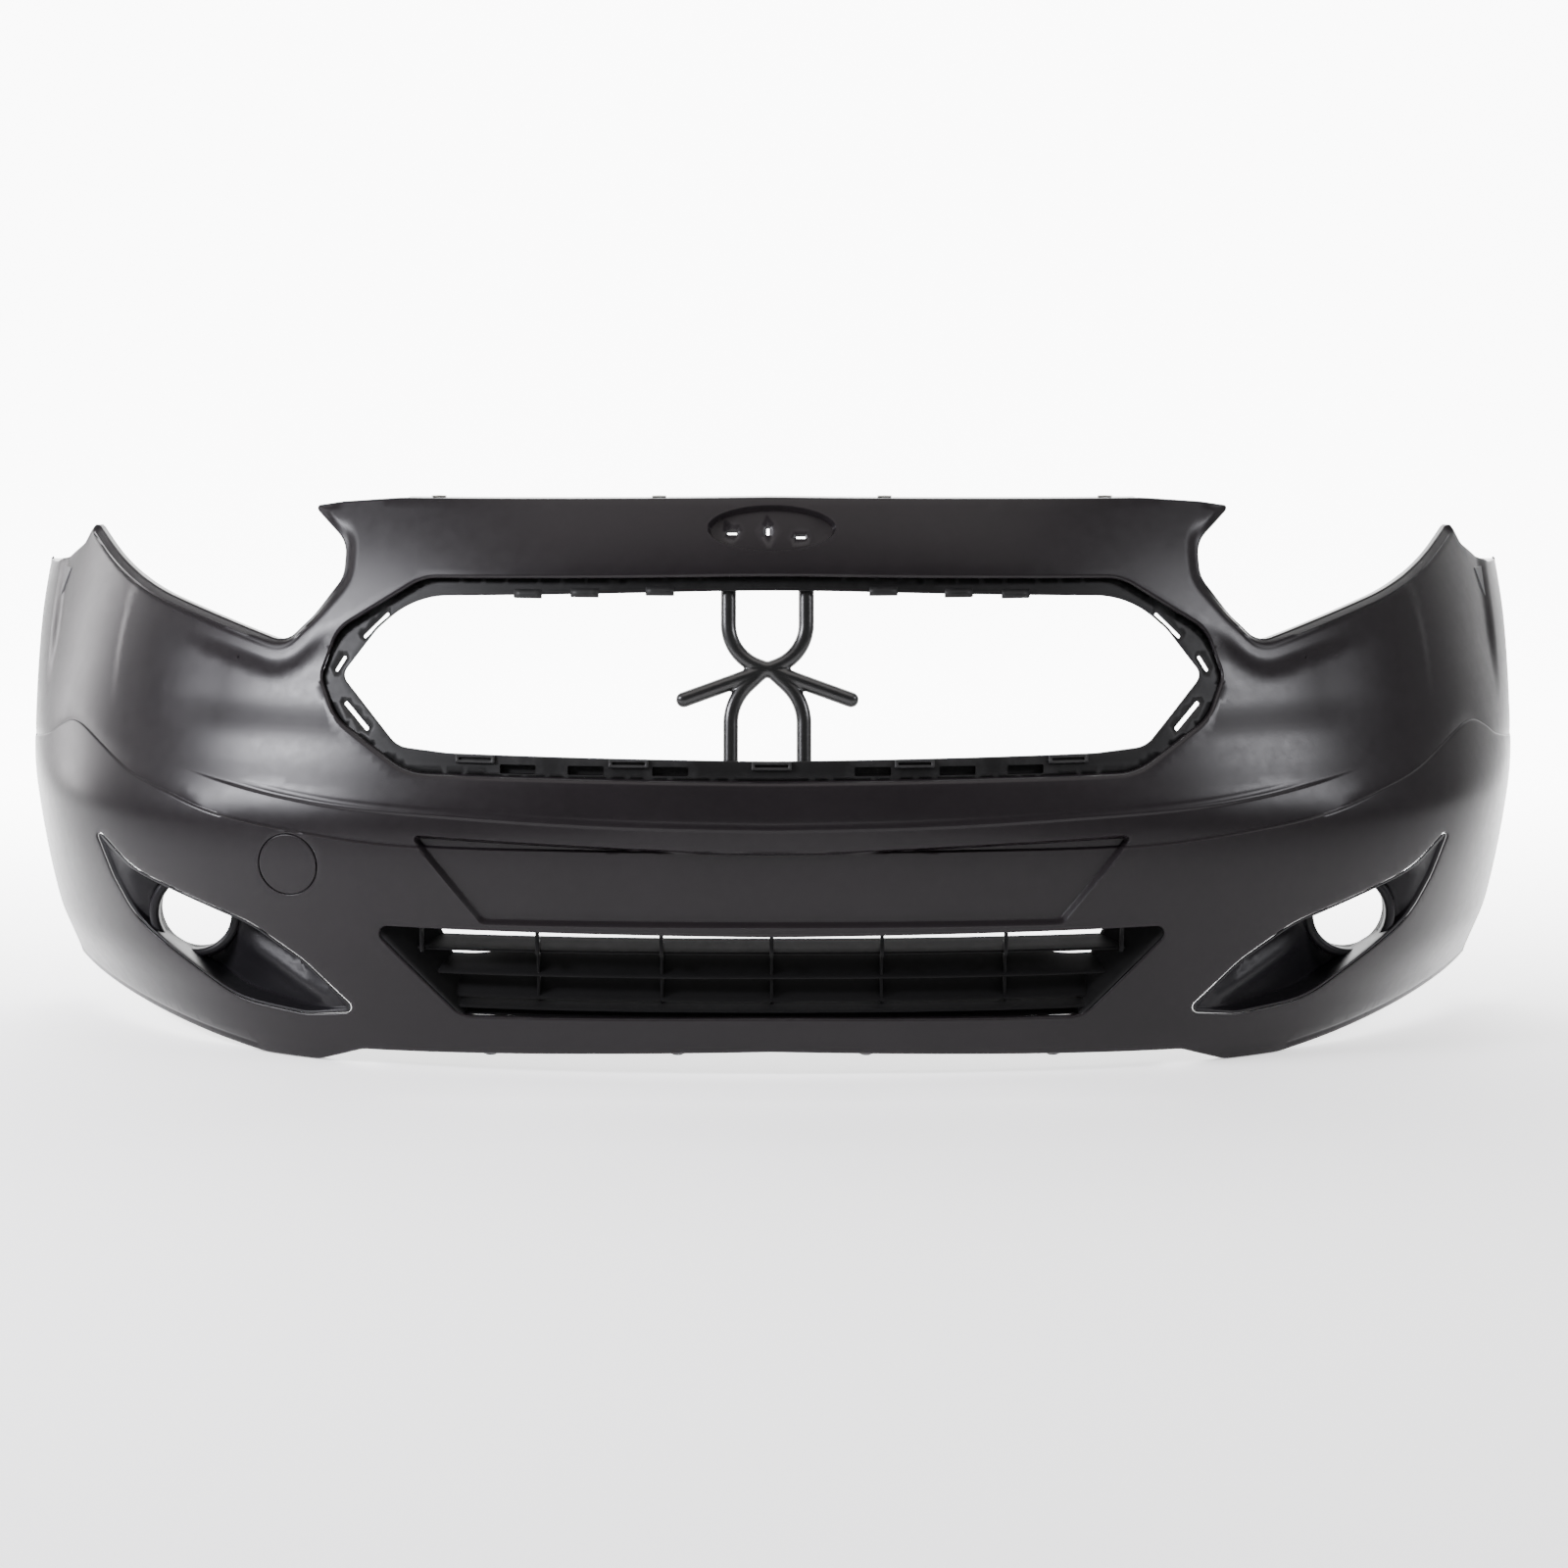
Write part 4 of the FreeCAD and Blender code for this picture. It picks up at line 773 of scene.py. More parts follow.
def cover_skin():
    """The skin's front, its turned-in edge and its openings' walls, all as one sheet.  Also
    returns the edge: its points on the outer face, at its end, and the ways it runs."""
    openings = opening_loops()
    inner = grown(OUTER_LOOP, -OUTER_ROUND)
    loops = [inner]
    loops += [to_sheet(grown(loop, OPENING_EDGES[name][0])) for name, loop in openings.items()]
    loops += [
        to_sheet(rounded_box(x, z, half_x, half_z, 0.8, 1.6)) for x, z, half_x, half_z in BADGE_SLOTS
    ]
    lines = relief_rows(to_sheet(grown(openings["tow"], 3.5)))
    flat, faces, spans = triangulated(loops, lines, GRID)
    depths = relief(flat[:, 0], flat[:, 1])
    shell = Shell()
    shell.add(skin_points(flat[:, 0] / SPAN, flat[:, 1], depths), faces)

    # the outline's rounded edge and turned-in wall
    ways = edge_directions(OUTER_LOOP)
    base = outer_points(OUTER_LOOP[:, 0] / SPAN, OUTER_LOOP[:, 1])
    ring, sink = spans[0], depths[spans[0]][:, None]
    start = outer_points(inner[:, 0] / SPAN, inner[:, 1])
    normals = inward_normals(inner[:, 0] / SPAN, inner[:, 1])
    for run, down in quarter_round(OUTER_ROUND, ROUND_STEPS):
        outward = (base - start) * run / OUTER_ROUND
        ring = shell.ring_on(ring, start + outward + normals * (sink + down))
    corner = base + normals * (sink + OUTER_ROUND)
    reach = RETURN_DEPTH - OUTER_ROUND - np.minimum(sink, 6.0)
    for share in (0.5, 1.0):
        ring = shell.ring_on(ring, corner + ways * reach * share)

    # the openings' rounded edges and walls
    for (name, loop), span in zip(openings.items(), spans[1:]):
        rounding, wall = OPENING_EDGES[name]
        ring, loop = span[::-1], loop[::-1]
        sink = depths[ring]
        for run, down in quarter_round(rounding, ROUND_STEPS):
            ring = shell.ring_on(ring, along_y(grown_like(loop, rounding - run), down + sink))
        for share in (0.4, 1.0):
            depth = rounding + sink + (wall - rounding) * share
            ring = shell.ring_on(ring, along_y(loop, depth))
    return shell, (base, corner + ways * reach, ways)


def quarter_round(radius, steps):
    """Outward and backward runs of a rounded edge, from its face to its side."""
    angles = [math.pi / 2 * number / steps for number in range(1, steps + 1)]
    return [(radius * math.sin(angle), radius * (1 - math.cos(angle))) for angle in angles]


def outside_pieces(line, loop):
    """The stretches of a row of points that stay outside a loop."""
    away = ~inside(line, loop)
    cuts = np.nonzero(np.diff(away))[0] + 1
    pieces = zip(np.split(line, cuts), np.split(away, cuts))
    return [piece for piece, free in pieces if free[0] and len(piece) > 1]


# ---------------------------------------------------------------- the skin's rim, flanges and bosses

RIM_DEPTH = 12.0
RIM_SLOTS = (106, 195, 267)           # bottom slots, distance from the middle
RIM_SLOT_HALF, RIM_SLOT_HEIGHTS = 19.0, (320.0, 329.5)
RIM_SLITS = [((411, 481), (438, 455)), ((458, 435), (468, 419)), ((430, 360), (457, 388))]
RIM_SLIT_WIDTH, HEM_ROUND = 4.6, 1.2
TOP_TABS = (118, -118, 198, -198, 259, -259)
BOTTOM_TABS = (0, 150, -150, 313, -313)


def rounded_box(x, z, half_x, half_z, radius=1.5, spacing=4.0):
    """Outline of a box with rounded corners round a front view point."""
    signs = ((-1, -1), (1, -1), (1, 1), (-1, 1))
    return rounded([(x + a * half_x, z + b * half_z, radius) for a, b in signs], spacing)


def slit(start, end, width):
    """Rounded slot along a slanted line."""
    start, end = np.array(start, float), np.array(end, float)
    along = unit(end - start)
    across = np.array([-along[1], along[0]]) * width / 2
    corners = [start - across, end - across, end + across, start + across]
    return rounded([(x, z, 1.8) for x, z in corners], 3.0)


def patch(shell, loops, spacing, depth):
    """Sheet that follows the skin at a depth."""
    front, faces, _ = triangulated(loops, [], spacing)
    shell.add(along_y(front, depth), faces)


def upper_rim():
    """The recessed rim of the upper opening, with its slots, slits, hem and tabs."""
    shell = Shell()
    slots, slits = [], []
    low, high = RIM_SLOT_HEIGHTS
    for side in SIDES.values():
        for x in RIM_SLOTS:
            slots.append(rounded_box(side * x, (low + high) / 2, RIM_SLOT_HALF, (high - low) / 2))
        for start, end in RIM_SLITS:
            slits.append(slit((side * start[0], start[1]), (side * end[0], end[1]), RIM_SLIT_WIDTH))
    opening = turned_left(rounded(both_halves(UPPER_OPENING), 5.0))
    rim = rounded(both_halves(UPPER_RIM), 5.0)
    patch(shell, [opening, rim] + slots + slits, 6.0, RIM_DEPTH)
    for slot in slots:
        mouth = turned_left(slot, left=False)
        deep = shell.ring_on(shell.add(along_y(mouth, RIM_DEPTH)), along_y(mouth, RIM_DEPTH + 9))
        shell.faces.append(tuple(reversed(deep)))
    inner = turned_left(rim, left=False)
    ring = shell.add(along_y(inner, RIM_DEPTH))
    for run, down in quarter_round(HEM_ROUND, 3):
        ring = shell.ring_on(ring, along_y(grown_like(inner, -run), RIM_DEPTH + down))
    shell.ring_on(ring, along_y(grown_like(inner, -HEM_ROUND), RIM_DEPTH + 4.0))
    for middle in BOTTOM_TABS:
        edge = 333.5 + abs(middle) * 0.012
        outer = rounded_box(middle, edge - 2.25, 21, 4.25, 1.0, 5.0)
        window = rounded_box(middle, edge - 2.4, 17.5, 1.6, 0.8, 5.0)
        patch(shell, [outer, window], 5.0, RIM_DEPTH - 3.0)
    for middle in TOP_TABS:
        edge = 513 - abs(middle) * 0.0314
        patch(shell, [rounded_box(middle, edge + 0.5, 15, 4.5, 1.0, 5.0)], 5.0, RIM_DEPTH - 0.4)
    return shell


TOP_FLANGE_HALF, TOP_FLANGE_END, TOP_BOLTS = 396, 33.0, (-360, -120, 120, 360)
BOTTOM_FLANGE_HALF, BOTTOM_FLANGE_END, RIVETS = 419, 32.0, (-300, -100, 100, 300)
ARCH_FLANGE_END, ARCH_BOLTS = 23.8, np.radians((143, 163, 183))


def flange_run(ring, chosen):
    """Numbers of the chosen points of the turned-in edge, their ways and distances along it."""
    _, positions, ways = ring
    index = np.nonzero(chosen)[0]
    if np.any(np.diff(index) > 1):
        gap = np.argmax(np.diff(index) > 1) + 1
        index = np.concatenate([index[gap:], index[:gap]])
    base = positions[index]
    steps = np.linalg.norm(np.diff(base, axis=0), axis=1)
    return index, ways[index], np.concatenate([[0], np.cumsum(steps)])


def ruled_flange(shell, ring, chosen, end, holes=(), notches=()):
    """Flange that carries on from the turned-in edge.  Holes are (distance along, depth, radius)
    and notches in its free edge are (distance along, half width, depth)."""
    index, way, along = flange_run(ring, chosen)
    far = [(along[-1], end)]
    for middle, half, depth in sorted(notches, reverse=True):
        far += [(middle + half, end), (middle + half, depth)]
        far += [(middle - half, depth), (middle - half, end)]
    far.append((0.0, end))
    free_edge = []
    for first, second in zip(far[:-1], far[1:]):
        pieces = max(1, math.ceil(math.dist(first, second) / 6.0))
        run = np.array(second) - first
        free_edge += [np.array(first) + run * n / pieces for n in range(pieces)]
    free_edge.append(np.array(far[-1]))
    near = np.stack([along, np.full_like(along, RETURN_DEPTH)], -1)
    loops = [tidy_loop(np.concatenate([near, free_edge]), True)] + [circle(*hole, 20) for hole in holes]
    flat, faces, _ = triangulated(loops, [], 6.0)

    def at(values):
        return np.stack([np.interp(flat[:, 0], along, values[:, axis]) for axis in range(3)], -1)

    shell.add(at(ring[1][index]) + at(way) * (flat[:, 1] - RETURN_DEPTH)[:, None], faces[:, ::-1])


def distances_at(ring, chosen, measure, places):
    """Distances along a flange at which a measure of its edge reaches some places."""
    index, _, along = flange_run(ring, chosen)
    order = np.argsort(measure[index])
    return np.interp(places, measure[index][order], along[order])


def flanges(shell, ring):
    """The bolting flange on top, the undertray's at the bottom and one round each wheel arch."""
    edge, positions, _ = ring
    x, y, z = edge.T
    top = (np.abs(x) < TOP_FLANGE_HALF) & (z > 590)
    bolts = distances_at(ring, top, positions[:, 0], TOP_BOLTS)
    ruled_flange(shell, ring, top, TOP_FLANGE_END,
                 [(bolt, 17.0, 4.0) for bolt in bolts], [(bolt, 8.0, 24.3) for bolt in bolts])
    bottom = (np.abs(x) < BOTTOM_FLANGE_HALF) & (z < 40)
    rivets = distances_at(ring, bottom, positions[:, 0], RIVETS)
    ruled_flange(shell, ring, bottom, BOTTOM_FLANGE_END, [(rivet, 19.0, 4.2) for rivet in rivets])
    angles = np.mod(np.arctan2(z - ARCH_HEIGHT, y - ARCH_BACK), 2 * math.pi)
    for side in SIDES.values():
        arch = on_arch(edge) & (x * side > 0)
        bolts = distances_at(ring, arch, angles, ARCH_BOLTS)
        ruled_flange(shell, ring, arch, ARCH_FLANGE_END, [(bolt, 16.5, 4.0) for bolt in bolts])


def at_setback(front, setback):
    """Front view points on a flat face across the van."""
    return np.stack([front[:, 0], np.full(len(front), setback), front[:, 1]], -1)


def lathe(shell, centre, profile, steps=40):
    """Turned solid round an axis along Y.  The profile is a closed loop of (radius, setback)."""
    rings = [at_setback(circle(*centre, radius, steps), setback) for radius, setback in profile]
    shell.loft(rings, joined=True)


def screw_ear(shell, x, z, back):
    """Round ear with a screw hole, 3 mm thick."""
    lathe(shell, (x, z), [(7, back), (7, back + 3), (2.2, back + 3), (2.2, back)], 32)


BEZEL_SCREWS = [(545, 170), (600, 57), (688, 217)]
GRILLE_SCREWS = [(110, 46), (290, 46)]
BRACKET_SCREWS = [(520, 428), (580, 428)]
GUIDE_PEGS = [(530, 482), (575, 494)]  # setback, height
# radius and depth round the tow cap's tube
TOW_SOCKET = [
    (35.4, 2.6), (35.4, 16), (33.1, 16), (33.1, 7.0), (27, 7.0), (27, 4.0), (33.1, 4.0), (33.1, 2.6)]
# places, depth of the foot, reach behind the outer face
BOSSES = [(BEZEL_SCREWS, 2.2, 25.0), (GRILLE_SCREWS, 2.2, 38.0), (BRACKET_SCREWS, 6.5, 14.0)]


def boss(shell, x, z, root, reach):
    """Screw boss: its foot follows the back of the skin, its end is flat with a blind hole."""
    ring = shell.add(along_y(circle(x, z, 5.4, 28), root))
    back = skin_y_at(abs(x), z) + reach
    for radius, setback in ((5.0, back - 0.5), (4.5, back), (2.1, back), (2.1, back - 10)):
        ring = shell.ring_on(ring, at_setback(circle(x, z, radius, 28), setback))
    shell.faces.append(tuple(ring))


def box(shell, corners):
    """Box from its eight corners: the near four, then the far four in the same order round."""
    first = shell.add(corners)
    for face in ((0, 1, 2, 3), (7, 6, 5, 4), (0, 4, 5, 1), (1, 5, 6, 2), (2, 6, 7, 3), (3, 7, 4, 0)):
        shell.faces.append(tuple(first[n] for n in face))


def guide_peg(shell, side, setback, height):
    """Peg on the inside of the wing that a rail is pushed onto."""
    corners = []
    for depth in (1.5, 9.0):
        for along, up in ((-8, -3), (8, -3), (8, 3), (-8, 3)):
            goal = np.array([setback + along], float)
            level = np.array([height + up], float)
            share = find_share(lambda u: outer_points(u, level)[..., 1], goal)
            corners.append(skin_points(share, level, np.array([depth]))[0] * [side, 1, 1])
    box(shell, corners)


def bosses_and_socket():
    """Screw bosses, the guides' pegs, and the tube that the tow cap snaps into."""
    shell = Shell()
    for side in SIDES.values():
        for setback, height in GUIDE_PEGS:
            guide_peg(shell, side, setback, height)
    for places, root, reach in BOSSES:
        for x, z in places:
            for side in SIDES.values():
                boss(shell, side * x, z, root, reach)
    shell.loft([
        along_y(circle(TOW_X, TOW_Z, radius), depth) for radius, depth in TOW_SOCKET], joined=True)
    return shell


# ---------------------------------------------------------------- towing eye cap


CAP_RADIUS, CAP_ROUND = TOW_RADIUS - 0.9, 0.9
CAP_SINK = 0.15                # of the cap's face behind the skin's
LEG_SECTION = [(26.4, 12.6), (26.4, 1.2), (24.8, 1.2), (24.8, 12.6)]   # radius, depth
LEG_HALF_ANGLE = 0.19


def cap_circle(inset):
    return circle(TOW_X, TOW_Z, CAP_RADIUS - inset)


def tow_cap():
    """The cap's face and edge, with a pry notch."""
    shell = Shell()
    edge = cap_circle(CAP_ROUND)
    lines = [closed_row(cap_circle(inset)) for inset in (2.2, 5.0, 9.0, 14.0, 20.0)]
    front, faces, spans = triangulated([edge], lines, 5.0)
    shell.add(along_y(front, CAP_SINK), faces)
    ring = spans[0]
    angles = np.arctan2(edge[:, 1] - TOW_Z, edge[:, 0] - TOW_X)
    dip = np.where(np.abs(angles) < 0.12, 1.6, 0.0)
    for run, down in quarter_round(CAP_ROUND, 3):
        ring = shell.ring_on(ring, along_y(cap_circle(CAP_ROUND - run), CAP_SINK + down + dip))
    shell.ring_on(ring, along_y(cap_circle(0), 2.6 + dip))
    return shell


def tow_cap_legs():
    """Four snap legs: short walls of a tube round the cap's axis."""
    shell = Shell()
    for quarter in range(4):
        middle = quarter * math.pi / 2
        rings = []
        for angle in np.linspace(middle - LEG_HALF_ANGLE, middle + LEG_HALF_ANGLE, 7):
            radius, depth = np.array(LEG_SECTION).T
            x, z = TOW_X + radius * math.cos(angle), TOW_Z + radius * math.sin(angle)
            rings.append(along_y(np.stack([x, z], -1), depth))
        shell.loft(rings)
    return shell


# ---------------------------------------------------------------- fog lamp bezels

LAMP_X, LAMP_Z, LAMP_FLOOR = 634.0, 146.0, 201.0
CARRIER_HOLE, COLLAR_OUTSIDE = 47.0, 50.3
RING_BORE, RING_OUTSIDE, RING_FRONT = 39.5, 50.5, 187.0
BEZEL_GAP, BEZEL_WALL = 0.4, 2.8
WALL_DRAFT = 4.0
# ends in the front view, height back from the ramp, width
RAMP_RIDGES = [((600, 128), (462, 64), -7.0, 9.0), ((590, 152), (500, 98), 5.0, 6.0)]


def smooth_max(a, b, softness):
    return (a + b + np.sqrt((a - b) ** 2 + softness**2)) / 2


def pocket_floor(x, z):
    """Setback of the pocket's floor: a ramp from the inner tip, then level, then close behind
    the skin towards the outer tip, with two soft ridges along the ramp."""
    ramp = 66 + (x - 441) * 0.86
    floor = -smooth_max(-ramp, -np.full_like(ramp, LAMP_FLOOR), 8.0)
    places = np.stack([x, z], -1)
    fade = 1 - smoothstep((x - 560) / 30)
    for start, end, height, width in RAMP_RIDGES:
        away = gap_to(places, np.array([start, end], float), closed=False)
        floor = floor + height * np.exp(-((away / width) ** 2)) * fade
    return smooth_max(floor, skin_y(x, z) + 5, 5.0)


def fog_bezel(side):
    """The pocket's lining: a lip along its outline, drafted walls and the floor round the lamp."""
    outline = turned_left(grown(turned_left(rounded(LAMP_POCKET, 3.5)), -BEZEL_GAP))

    def inset_row(inset):
        row = grown(outline, -inset)
        return row[gap_to(row, outline) > inset - 0.15]

    insets = [0.7, 1.4, 2.1, 2.8] + [BEZEL_WALL + WALL_DRAFT * n / 8 for n in range(1, 9)]
    lines = [closed_row(inset_row(inset)) for inset in insets]
    well = inset_row(BEZEL_WALL + WALL_DRAFT)
    ring = circle(LAMP_X, LAMP_Z, CARRIER_HOLE, 96)
    near_lamp = np.linalg.norm(well - [LAMP_X, LAMP_Z], axis=1) < CARRIER_HOLE
    hole = np.concatenate([ring[inside(ring, well)], well[near_lamp]])
    hole = hole[np.argsort(np.arctan2(hole[:, 1] - LAMP_Z + 6, hole[:, 0] - LAMP_X))]
    front, faces, _ = triangulated([outline, tidy_loop(hole, True)], lines, 6.0)
    x, z = front.T
    inset = np.where(inside(front, outline), gap_to(front, outline), 0)
    surface = skin_y(x, z) + 1.0
    lip = (np.abs(inset - 1.4) / 1.4) ** 2 * (inset < BEZEL_WALL)
    share = smoothstep((inset - BEZEL_WALL) / WALL_DRAFT)
    sunk = (pocket_floor(x, z) - surface) * share + np.where(inset >= BEZEL_WALL, 1 - share, 0)
    shell = Shell()
    shell.add(np.stack([side * x, surface + lip + sunk, z], -1), faces[:, ::side])
    return shell


def bezel_collar(side):
    """Collar round the lamp carrier, with a rounded front rim, and the bezel's screw ears."""
    shell = Shell()
    floor_back = LAMP_FLOOR + 15
    profile = [(CARRIER_HOLE, floor_back), (CARRIER_HOLE, LAMP_FLOOR), (RING_BORE, LAMP_FLOOR - 3)]
    middle, half = (RING_BORE + RING_OUTSIDE) / 2, (RING_OUTSIDE - RING_BORE) / 2
    for angle in (math.pi * number / 12 for number in range(1, 12)):
        profile.append((middle - half * math.cos(angle), RING_FRONT + half * (1 - math.sin(angle))))
    profile += [
        (RING_OUTSIDE, LAMP_FLOOR), (COLLAR_OUTSIDE, LAMP_FLOOR + 1), (COLLAR_OUTSIDE, floor_back)]
    lathe(shell, (side * LAMP_X, LAMP_Z), profile, 96)
    outline = rounded(LAMP_POCKET, 3.5)
    scan = np.arange(40.0, 240.0, 0.5)
    for x, z in BEZEL_SCREWS:
        back = skin_y_at(x, z) + 25.0
        screw_ear(shell, side * x, z, back)
        tongue = []
        for x_end in (x - 6.0, x + 6.0):
            within = scan[inside(np.stack([np.full_like(scan, x_end), scan], -1), outline)]
            above = z > within.mean()
            tongue.append((x_end, within.max() - 3.0 if above else within.min() + 3.0))
        start = z - 4.5 if above else z + 4.5
        tongue += [(x + 6.0, start), (x - 6.0, start)]
        box(shell, [
            (side * x_end, setback, height)
            for setback in (back + 0.05, back + 2.95) for x_end, height in tongue])
    return shell


# ---------------------------------------------------------------- centre brace

BRACE_RADIUS, BRACE_MIDDLE = 8.4, -4.5
BRACE_UPPER_GAP, BRACE_LOWER_GAP = 41.0, 38.5
BRACE_CROSSING, ARM_REACH, ARM_DROP = 428.0, 88.0, 31.0
BRACE_BOTTOM, BRACE_TOP = 326.0, 520.0
BRACE_LOW, BRACE_HIGH = 328.0, 518.0     # heights at which the tubes touch the rim


def brace_setback(height):
    """Setback of the tubes' middle line: straight up, just behind the rim."""
    share = (height - BRACE_LOW) / (BRACE_HIGH - BRACE_LOW)
    low, high = skin_y_at(0, BRACE_LOW), skin_y_at(0, BRACE_HIGH)
    return low * (1 - share) + high * share + RIM_DEPTH + 3 + BRACE_RADIUS + 2.5


def tube_route(route):
    """Middle line of a tube: straight runs joined by arcs, from (x, height, bend) points."""
    corners = [Vector((x, brace_setback(z), z)) for x, z, _ in route]
    points = [corners[0]]
    for index in range(1, len(route) - 1):
        arriving = (corners[index] - corners[index - 1]).normalized()
        leaving = (corners[index + 1] - corners[index]).normalized()
        bend = route[index][2]
        turn = arriving.angle(leaving)
        first = corners[index] - arriving * bend * math.tan(turn / 2)
        centre = corners[index] + (leaving - arriving).normalized() * bend / math.cos(turn / 2)
        axis = arriving.cross(leaving).normalized()
        for number in range(15):
            points.append(centre + Matrix.Rotation(turn * number / 14, 3, axis) @ (first - centre))
    points.append(corners[-1])
    return points


def tube(shell, points, radius, round_end, sides=28):
    """Tube along points, with a flat start and a flat or rounded end."""
    rings = []
    sideways = Vector((0, 1, 0))
    stations = [(point, radius) for point in points]
    if round_end:
        way = (points[-1] - points[-2]).normalized()
        stations += [
            (points[-1] + way * radius * math.sin(angle), radius * math.cos(angle))
            for angle in (math.pi / 2 * n / 8 for n in range(1, 8))
        ]
    for index, (point, size) in enumerate(stations):
        before, after = stations[max(index - 1, 0)][0], stations[min(index + 1, len(stations) - 1)][0]
        way = (after - before).normalized()
        first = (sideways - way * sideways.dot(way)).normalized()
        second = way.cross(first)
        rings.append([
            point + (first * math.cos(a) + second * math.sin(a)) * size
            for a in (2 * math.pi * n / sides for n in range(sides))
        ])
    shell.loft(rings)


def centre_brace():
    """Two long tubes that cross and end in short arms, and two that come up to the crossing."""
    shell = Shell()
    rise_in = BRACE_UPPER_GAP * ARM_DROP / ARM_REACH
    for side in SIDES.values():
        upper = BRACE_MIDDLE + side * BRACE_UPPER_GAP
        lower = BRACE_MIDDLE + side * BRACE_LOWER_GAP
        tube(shell, tube_route([
            (upper, BRACE_TOP, 0), (upper, BRACE_CROSSING + rise_in, 47.0),
            (BRACE_MIDDLE - side * ARM_REACH, BRACE_CROSSING - ARM_DROP, 0),
        ]), BRACE_RADIUS, True)
        tube(shell, tube_route([
            (lower, BRACE_BOTTOM, 0), (lower, BRACE_CROSSING - 32, 56.0),
            (BRACE_MIDDLE, BRACE_CROSSING + 3, 0),
        ]), BRACE_RADIUS - 0.3, False)
    return shell


def fused(piece, voxel, smoothing):
    """Makes one smooth skin of the closed shapes of a piece."""
    remesh = piece.modifiers.new("one_skin", "REMESH")
    remesh.mode = "VOXEL"
    remesh.voxel_size = voxel * MM
    remesh.use_smooth_shade = True
    soften = piece.modifiers.new("soften", "SMOOTH")
    soften.iterations = smoothing
    soften.factor = 0.5
    graph = bpy.context.evaluated_depsgraph_get()
    mesh = bpy.data.meshes.new_from_object(piece.evaluated_get(graph))
    piece.modifiers.clear()
    piece.data = mesh


# ---------------------------------------------------------------- lower grille

RIB_PLACES = (-371, -247, -116, 0, 116, 247, 371)
SHORT_RIBS_BEYOND = 300
GRILLE_FOOT = 69    # height at which the screw ears' feet meet the lowest blade
BLADE_FRONT, BLADE_BACK, BLADE_STATIONS = 18.0, 45.0, 90
# front edge's height, half length, front edge's depth, climb to the rear, sag of the rear's ends
BLADES = [
    (128, 398, BLADE_FRONT, 8.0, 0.0), (101, 376, BLADE_FRONT, 20.0, 5.5),
    (75, 352, BLADE_FRONT, 20.0, 0.0), (66.5, 338, 9.0, 12.0, 0.0),
]


def blade(shell, height, half_length, front, climb, sag=0.0, wall=3.0, back=BLADE_BACK, droop=0.0):
    """Blade with a rounded leading edge, at a depth behind the skin.  Its ends hang by the droop,
    and towards its ends the rear edge sags."""
    radius, length = wall / 2, back - front
    angles = [math.pi / 2 + math.pi * number / 6 for number in range(7)]
    section = [(radius + radius * math.cos(a), radius + radius * math.sin(a)) for a in angles]
    section += [(length * share, 0.0) for share in (0.35, 0.7, 1.0)]
    section += [(length * share, wall) for share in (1.0, 0.7, 0.35)]
    run, lift = np.array(section).T
    reach = float(shares_at(half_length, height))
    rings = []
    for share in (reach * (2 * station / BLADE_STATIONS - 1) for station in range(BLADE_STATIONS + 1)):
        outward = abs(share) / reach
        climbed = climb - sag * float(smoothstep(outward * 6 - 4.2))
        heights = height + climbed * run / length + lift - droop * outward
        rings.append(skin_points(np.full_like(run, share), heights, front + run))
    shell.loft(rings)


def bar(shell, x, near, far, low, high, thickness=3.0):
    """Upright rib: a rounded rectangle in plan, followed from its foot to its head."""
    half = thickness / 2
    outline = turned_left(rounded(
        [(-half, near, 1.3), (half, near, 1.3), (half, far, 0.5), (-half, far, 0.5)], 8.0))
    rings = []
    steps = max(2, round((high - low) / 8))
    for height in (low + (high - low) * step / steps for step in range(steps + 1)):
        level = np.full(len(outline), height)
        base = skin_y(np.full_like(level, x), level)
        rings.append(np.stack([x + outline[:, 0], base + outline[:, 1], level], -1))
    shell.loft(rings)


def lower_grille():
    """Blades, ribs with a stub up to the skin at each head, and screw ears on feet."""
    shell = Shell()
    for row in BLADES:
        blade(shell, *row)
    blade(shell, 60.4, 331, 12.6, 12.6, wall=2.4, back=33.0, droop=2.6)
    for x in RIB_PLACES:
        low, high = (67, 141) if abs(x) < SHORT_RIBS_BEYOND else (99, 139)
        bar(shell, x, 20, 44.5, low, high)
        bar(shell, x, 9, 15, 131, 153 + abs(x) * 0.01, 4.0)
        bar(shell, x, 11, 26, 129, 134, 3.4)
    for side in SIDES.values():
        for x, z in GRILLE_SCREWS:
            back = skin_y_at(x, z) + 38.0
            screw_ear(shell, side * x, z, back)
            box(shell, [
                (side * x + across, setback, height) for setback in (back, back + 3)
                for across, height in ((-7, z), (7, z), (7, GRILLE_FOOT), (-7, GRILLE_FOOT))])
    return shell


def cheek(shell, side):
    """Funnel-shaped side wall: from the slanted edge of the opening it runs inward and back."""
    top, bottom = np.array([427.5, 157.0]), np.array([330.0, 62.0])
    rows = []
    steps_up, steps_back = 26, 12
    back = np.arange(steps_back + 1) / steps_back
    for share in (row / steps_up for row in range(steps_up + 1)):
        edge_x, edge_z = bottom + (top - bottom) * share
        x = edge_x - 1.2 - 50.0 * back**0.85 * share - 8 * back
        height = np.full_like(x, edge_z)
        points = skin_points(shares_at(x, height), height, 2.0 + (BLADE_BACK - 2.0) * back)
        rows.append(shell.add(points * [side, 1, 1]))
    for lower, upper in zip(rows, rows[1:]):
        for n in range(steps_back):
            shell.faces.append((lower[n], upper[n], upper[n + 1], lower[n + 1])[::side])


# ---------------------------------------------------------------- the pieces

